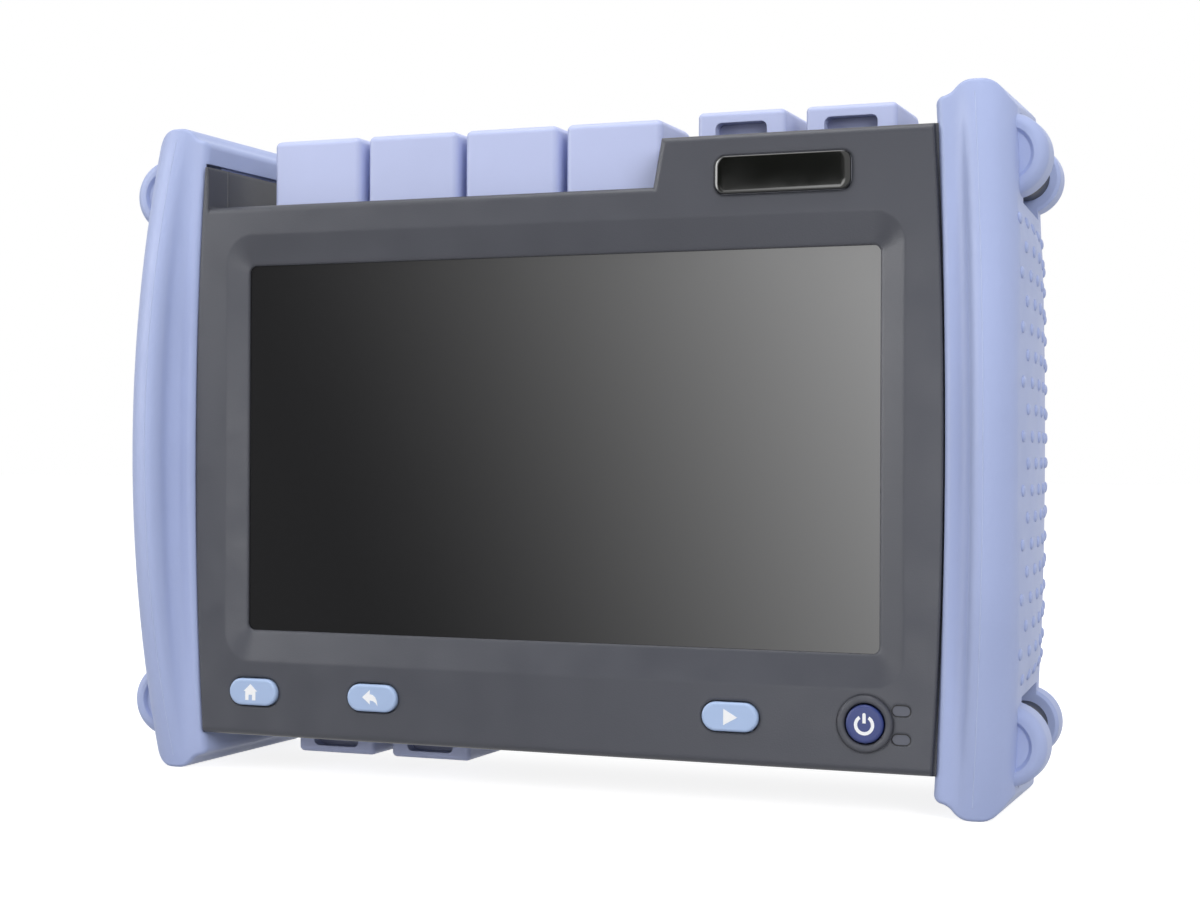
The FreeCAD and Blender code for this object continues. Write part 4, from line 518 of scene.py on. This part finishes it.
def tube_along(name, points, width, finish, closed=False):
    """A thin round bead that follows points, as a piece."""
    curve = bpy.data.curves.new(name, "CURVE")
    curve.dimensions = "3D"
    curve.bevel_depth = width / 2
    curve.bevel_resolution = BEAD_RESOLUTION
    curve.use_fill_caps = not closed
    spline = curve.splines.new("POLY")
    spline.use_cyclic_u = closed
    spline.points.add(len(points) - 1)
    for point, place in zip(spline.points, points):
        point.co = (*place, 1)
    mesh = settled_mesh(bpy.data.objects.new(f"{name}_path", curve))
    smooth(mesh)
    return on_stage(name, mesh, finish)


def mould_seams():
    """The parting line of the mould, which runs down the crown of each bumper."""
    for name, side in SIDE_OF_BUMPER.items():
        low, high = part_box(name)
        mesh = SKINS[name].data
        tree = BVHTree.FromPolygons([v.co for v in mesh.vertices],
                                    [p.vertices for p in mesh.polygons])
        height = high.z - low.z
        points = []
        for step in range(SEAM_STEPS + 1):
            level = 2 * step / SEAM_STEPS - 1
            z = (low.z + high.z) / 2 + level * (height / 2 - SEAM_END)
            x = side * (CROWN_X - CROWN_BOW * level ** 2)
            hit = tree.ray_cast(Vector((x, low.y - SEAM_CAST, z)), Vector((0, 1, 0)))[0]
            if hit:
                points.append(hit + Vector((0, SEAM_WIDTH / 2 - SEAM_RISE, 0)))
        # the bead is lighter rubber: a painted highlight along the seam
        bead = tube_along(f"{name}_seam", points, SEAM_WIDTH, SEAM_HIGHLIGHT_RUBBER)
        seat(bead, MAIN_BODY)


mould_seams()

# ---------------------------------------------------------------- the badge's resin, with a painted highlight round its edge

RIM_WIDTH = 0.28 * MM
BADGE_CORNER = 2.3 * MM
CORNER_STEPS = 8
DOME_END = 1.9 * MM
DOME_LONG_EDGE = 0.4 * MM
DOME_RISE = 0.55 * MM
DOME_RINGS = 10
DOME_SMOOTH_BELOW = 80


def badge_outline(ends, long_edges, y):
    """Points round the badge, its corners rounded, drawn in at its ends and long edges."""
    low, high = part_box("badge_plate")
    wide, tall = BADGE_CORNER - ends, BADGE_CORNER - long_edges
    points = []
    for across, up, start in ((1, 1, 0), (-1, 1, 90), (-1, -1, 180), (1, -1, 270)):
        corner = Vector((high.x if across > 0 else low.x, y, high.z if up > 0 else low.z))
        centre = corner - Vector((across, 0, up)) * BADGE_CORNER
        for step in range(CORNER_STEPS + 1):
            turn = math.radians(start + 90 * step / CORNER_STEPS)
            points.append(centre + Vector((wide * math.cos(turn), 0, tall * math.sin(turn))))
    return points


def badge_rim():
    """The clear resin edge that stands up round the badge's black face; its grey is a painted
    highlight.
    """
    points = badge_outline(0.0, 0.0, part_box("front_cover")[0].y)
    rim = tube_along("badge_rim", points, RIM_WIDTH, RIM_HIGHLIGHT_RESIN, closed=True)
    seat(rim, MAIN_BODY)


def badge_dome():
    """The poured resin over the badge's face, flat in the middle and rounded off at its edge."""
    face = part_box("badge_plate")[0].y
    solid = bmesh.new()
    rings = []
    for ring in range(DOME_RINGS + 1):
        turn = math.pi / 2 * ring / DOME_RINGS
        share = 1 - math.cos(turn)
        points = badge_outline(DOME_END * share, DOME_LONG_EDGE * share,
                               face - DOME_RISE * math.sin(turn))
        rings.append([solid.verts.new(point) for point in points])
    for outer, inner in zip(rings, rings[1:]):
        for here in range(len(outer)):
            before = here - 1
            solid.faces.new((outer[before], outer[here], inner[here], inner[before]))
    solid.faces.new(rings[-1])
    bmesh.ops.recalc_face_normals(solid, faces=solid.faces)
    mesh = poured("badge_dome", solid)
    smooth(mesh, DOME_SMOOTH_BELOW)
    seat(on_stage("badge_dome", mesh, BADGE_GLOSS), MAIN_BODY)


badge_rim()
badge_dome()

# ---------------------------------------------------------------- painted shade in the finger pockets of the covers

POCKET_DEPTH = 3.0 * MM
POCKET_SIDE = 4.3 * MM
TOP_ROOF = 2.6 * MM
LOW_ROOF = 1.7 * MM
POCKET_SKIN = 0.15 * MM


def plates(name, loops, front, thickness):
    """Thin plates that face forward, from loops of (x, z) corners."""
    solid = bmesh.new()
    for loop in loops:
        face = solid.faces.new([solid.verts.new((x, front, z)) for x, z in loop])
        for part in bmesh.ops.extrude_face_region(solid, geom=[face])["geom"]:
            if isinstance(part, bmesh.types.BMVert):
                part.co.y += thickness
    bmesh.ops.triangulate(solid, faces=solid.faces)
    bmesh.ops.recalc_face_normals(solid, faces=solid.faces)
    return poured(name, solid)


def pocket_shade_sheet(cover, low_roof, top_roof):
    """Painted shade: a darker sheet on the floor of a cover's slot, where a fingernail lifts it.
    """
    low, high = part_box(cover)
    left, right = low.x + POCKET_SIDE, high.x - POCKET_SIDE
    bottom, top = low.z + low_roof, high.z - top_roof
    loop = ((left, bottom), (right, bottom), (right, top), (left, top))
    mesh = plates(f"{cover}_pocket", [loop], low.y + POCKET_DEPTH - POCKET_SKIN, POCKET_SKIN)
    seat(on_stage(f"{cover}_pocket", mesh, POCKET_PAINTED_SHADE), BODY_OF[cover])


for top_cover in ("usb_cover", "ethernet_cover"):
    pocket_shade_sheet(top_cover, 0.0, TOP_ROOF)
for low_cover in ("charging_cover", "usb_device_cover"):
    pocket_shade_sheet(low_cover, LOW_ROOF, 0.0)

# ---------------------------------------------------------------- painted shade in the slots round the status windows

WINDOW_TALL = 2.4 * MM
WINDOW_SLOT = 0.22 * MM
WINDOW_STEPS = 10


def arc(centre, radius, start, end, steps):
    """Points along an arc, its angles in degrees from the right, anticlockwise."""
    turn = [math.radians(start + (end - start) * step / steps) for step in range(steps + 1)]
    return [(centre[0] + radius * math.cos(angle), centre[1] + radius * math.sin(angle))
            for angle in turn]


def window_slot_shade():
    """A black bead round each of the two status windows: painted shade of the slot round it."""
    low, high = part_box("status_windows")
    radius = WINDOW_TALL / 2
    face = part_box("front_cover")[0].y + WINDOW_SLOT / 4
    levels = {"upper_window_edge": high.z - radius, "lower_window_edge": low.z + radius}
    for name, level in levels.items():
        ends = (arc((high.x - radius, level), radius, -90, 90, WINDOW_STEPS)
                + arc((low.x + radius, level), radius, 90, 270, WINDOW_STEPS))
        # black plastic stands in for the shade in the slot: painted shade
        edge = tube_along(name, [(x, face, z) for x, z in ends], WINDOW_SLOT, BLACK_PLASTIC,
                          closed=True)
        seat(edge, MAIN_BODY)


window_slot_shade()

# ---------------------------------------------------------------- prints on the keys

PRINT_THICK = 0.06 * MM


def printed(name, key, loops, shift=(0.0, 0.0)):
    """Flat white shapes on the front of a key, from outlines in millimetres round its middle."""
    middle = middle_of(key)
    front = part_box(key)[0].y - PRINT_THICK / 2
    placed = [[(middle.x + (shift[0] + u) * MM, middle.z + (shift[1] + v) * MM)
               for u, v in loop] for loop in loops]
    mesh = plates(name, placed, front, PRINT_THICK)
    seat(on_stage(name, mesh, KEY_PRINT), BODY_OF[key])


HOUSE = [[(-1.87, 0.2), (-1.4, 0.2), (-1.4, -1.95), (-0.5, -1.95), (-0.5, -0.65),
          (0.45, -0.65), (0.45, -1.95), (1.4, -1.95), (1.4, 0.2), (1.87, 0.2), (0.0, 1.95)]]
ARROW = [[(-2.02, 0.2), (0.0, 1.95), (0.0, 1.0), (0.8, 0.8), (1.45, 0.25), (1.85, -0.6),
          (2.02, -1.75), (1.45, -1.0), (0.8, -0.6), (0.0, -0.5), (0.0, -1.45)]]
PLAY = [[(-1.3, 1.8), (-1.3, -1.8), (1.9, 0.0)]]


def power_symbol(radius=1.85, line=0.72, gap=32, foot=0.35):
    """An open ring with a bar in its gap, which is gap degrees wide to each side."""
    half = line / 2
    ring = (arc((0, 0), radius + half, 90 + gap, 450 - gap, 32)
            + arc((0, 0), radius - half, 450 - gap, 90 + gap, 32))
    bar = ([(-half, foot), (half, foot), (half, radius + foot)]
           + arc((0, radius + foot), half, 0, 180, 6)[1:-1] + [(-half, radius + foot)])
    return [ring, bar]


printed("home_print", "home_button", HOUSE, shift=(-0.5, 0.0))
printed("back_print", "back_button", ARROW, shift=(-0.3, 0.0))
printed("test_print", "quick_test_button", PLAY)
printed("power_print", "power_button", power_symbol(), shift=(0.0, -0.15))

# ---------------------------------------------------------------- camera

CAMERA_PLACE = Vector((183.2, -454.6, 76.1)) * MM
CAMERA_YAW = 21.5
CAMERA_TILT = 0.224
CAMERA_ROLL = 0.2455
LENS = 61.7
SENSOR = 36.0
NEAREST_SEEN = 10 * MM


def camera():
    """The camera of the main view, level but for a small tilt and roll."""
    data = bpy.data.cameras.new("camera")
    data.lens = LENS
    data.sensor_width = SENSOR
    data.clip_start = NEAREST_SEEN
    eye = bpy.data.objects.new("camera", data)
    turn = (Matrix.Rotation(math.radians(CAMERA_YAW), 4, "Z")
            @ Matrix.Rotation(math.radians(90 + CAMERA_TILT), 4, "X")
            @ Matrix.Rotation(math.radians(CAMERA_ROLL), 4, "Z"))
    eye.matrix_world = Matrix.Translation(CAMERA_PLACE) @ turn
    SCENE.collection.objects.link(eye)
    SCENE.camera = eye


# ---------------------------------------------------------------- surroundings

AMBIENT = 0.36
FLOOR_REACH = 6.0
FLOOR_WHITE = 0.85


def blended_strength(tree, seen, unseen):
    """One strength for rays from the eye, off gloss and through glass, another for the rest."""
    path = add_node(tree, "ShaderNodeLightPath")
    direct = path["Is Camera Ray"]
    for kind in ("Is Glossy Ray", "Is Transmission Ray"):
        direct = add_node(tree, "ShaderNodeMath", {0: direct, 1: path[kind]},
                          operation="MAXIMUM")[0]
    return add_node(tree, "ShaderNodeMapRange", {
        "Value": direct, "To Min": unseen, "To Max": seen})["Result"]


def studio_world():
    """White where it is seen, and a soft even light where it isn't."""
    world = bpy.data.worlds.new("studio")
    world.use_nodes = True
    tree = world.node_tree
    background = tree.nodes["Background"].inputs
    background["Color"].default_value = PURE_WHITE
    tree.links.new(blended_strength(tree, 1.0, AMBIENT), background["Strength"])
    SCENE.world = world


def pale_floor():
    """A pale floor that shows white but keeps the object's shadow."""
    mesh = sheet("floor", Vector(), Vector((FLOOR_REACH, 0, 0)), Vector((0, FLOOR_REACH, 0)))
    made = Finish("floor", FLOOR_GREY, 0.9, Specular_IOR_Level=0.1, Emission_Color=PURE_WHITE)
    made.drive("Emission Strength", blended_strength(made.tree, FLOOR_WHITE, 0.0))
    floor = on_stage("floor", mesh, made.material)
    floor.visible_glossy = False


# ---------------------------------------------------------------- lights

OBJECT_MIDDLE = (0, 0, 0.08)


def softbox(name, place, width, height, watts, aim=OBJECT_MIDDLE, diffuse=True, glossy=True):
    """A rectangular lamp at a place, turned towards its aim."""
    data = bpy.data.lights.new(name, "AREA")
    data.shape = "RECTANGLE"
    data.size = width
    data.size_y = height
    data.energy = watts
    lamp = bpy.data.objects.new(name, data)
    towards = Vector(aim) - Vector(place)
    lamp.matrix_world = (Matrix.Translation(Vector(place))
                         @ towards.to_track_quat("-Z", "Y").to_matrix().to_4x4())
    lamp.visible_diffuse = diffuse
    lamp.visible_glossy = glossy
    SCENE.collection.objects.link(lamp)


# ---------------------------------------------------------------- the screen's reflection

CARD_Y = -1.6
CARD_MIDDLE = Vector((-0.67, CARD_Y, 0.12))
CARD_REACH = Vector((0.95, 1.0, 0.55))
CARD_DARK = Vector((-0.99, CARD_Y, 0.09))
CARD_RISE = Vector((0.9135, 0.0, 0.407))
CARD_RUN = 0.68
CARD_GLOW = 4.4
CARD_DIM = 0.2
CARD_TOP = 0.30
CARD_TOP_FADE = 0.03
CARD_EDGE = 0.8


def sheen_card():
    """A graded card in front, seen only in reflections, which greys the screen's glass."""
    mesh = sheet("sheen card", CARD_MIDDLE, Vector((CARD_REACH.x, 0, 0)),
                 Vector((0, 0, CARD_REACH.z)))
    material = bpy.data.materials.new("sheen card")
    material.use_nodes = True
    tree = material.node_tree
    tree.nodes.clear()

    def add(kind, inputs=None, **settings):
        return add_node(tree, kind, inputs, **settings)

    def maths(operation, first, second):
        return add("ShaderNodeMath", {0: first, 1: second}, operation=operation)[0]

    def vectors(operation, first, second):
        return add("ShaderNodeVectorMath", {0: first, 1: second}, operation=operation)

    place = add("ShaderNodeTexCoord")["Object"]
    # the glow rises from the dark corner, by the square of the way along the card's rise
    from_dark = vectors("SUBTRACT", place, CARD_DARK)[0]
    rise = vectors("DOT_PRODUCT", from_dark, CARD_RISE)["Value"]
    level = add("ShaderNodeMapRange", {"Value": rise, "From Max": CARD_RUN})[0]
    graded = add("ShaderNodeMapRange", {
        "Value": maths("POWER", level, 2.0), "To Min": CARD_DIM, "To Max": CARD_GLOW})[0]
    # above a level the card is dark
    height = add("ShaderNodeSeparateXYZ", {0: place})["Z"]
    shade = add("ShaderNodeMapRange", {
        "Value": height, "From Min": CARD_TOP, "From Max": CARD_TOP + CARD_TOP_FADE,
        "To Min": 1.0, "To Max": 0.0})[0]
    glow = maths("MULTIPLY", graded, shade)
    # the card blends into the white world at its rim
    share = vectors("DIVIDE", vectors("SUBTRACT", place, CARD_MIDDLE)[0], CARD_REACH)[0]
    reach = add("ShaderNodeVectorMath", {0: share}, operation="LENGTH")["Value"]
    edge = add("ShaderNodeMapRange", {
        "Value": reach, "From Min": CARD_EDGE, "From Max": 1.0})[0]
    inside = maths("MULTIPLY", glow, maths("SUBTRACT", 1.0, edge))
    light = add("ShaderNodeEmission", {"Strength": maths("ADD", inside, edge)})[0]
    add("ShaderNodeOutputMaterial", {"Surface": light})
    card = on_stage("sheen_card", mesh, material)
    card.visible_camera = False
    card.visible_diffuse = False
    card.visible_shadow = False
    card.visible_transmission = False
    card.visible_volume_scatter = False


# ---------------------------------------------------------------- the finished scene

camera()
studio_world()
pale_floor()
# name, place, width, height, watts
softbox("key light", (0.95, -1.0, 0.65), 0.6, 0.7, 9.5, glossy=False)
softbox("left light", (-0.9, -0.8, 0.5), 0.4, 0.8, 3.6)
softbox("left sheen", (-1.1, -0.7, 0.3), 0.35, 0.9, 7.0, aim=(0, 0, 0.1), diffuse=False)
softbox("top light", (-0.15, -0.35, 1.3), 0.9, 0.7, 7.5)
softbox("back light", (0.2, 1.3, 0.8), 0.8, 0.8, 5.0, glossy=False)
sheen_card()
SCENE.view_settings.view_transform = "Standard"
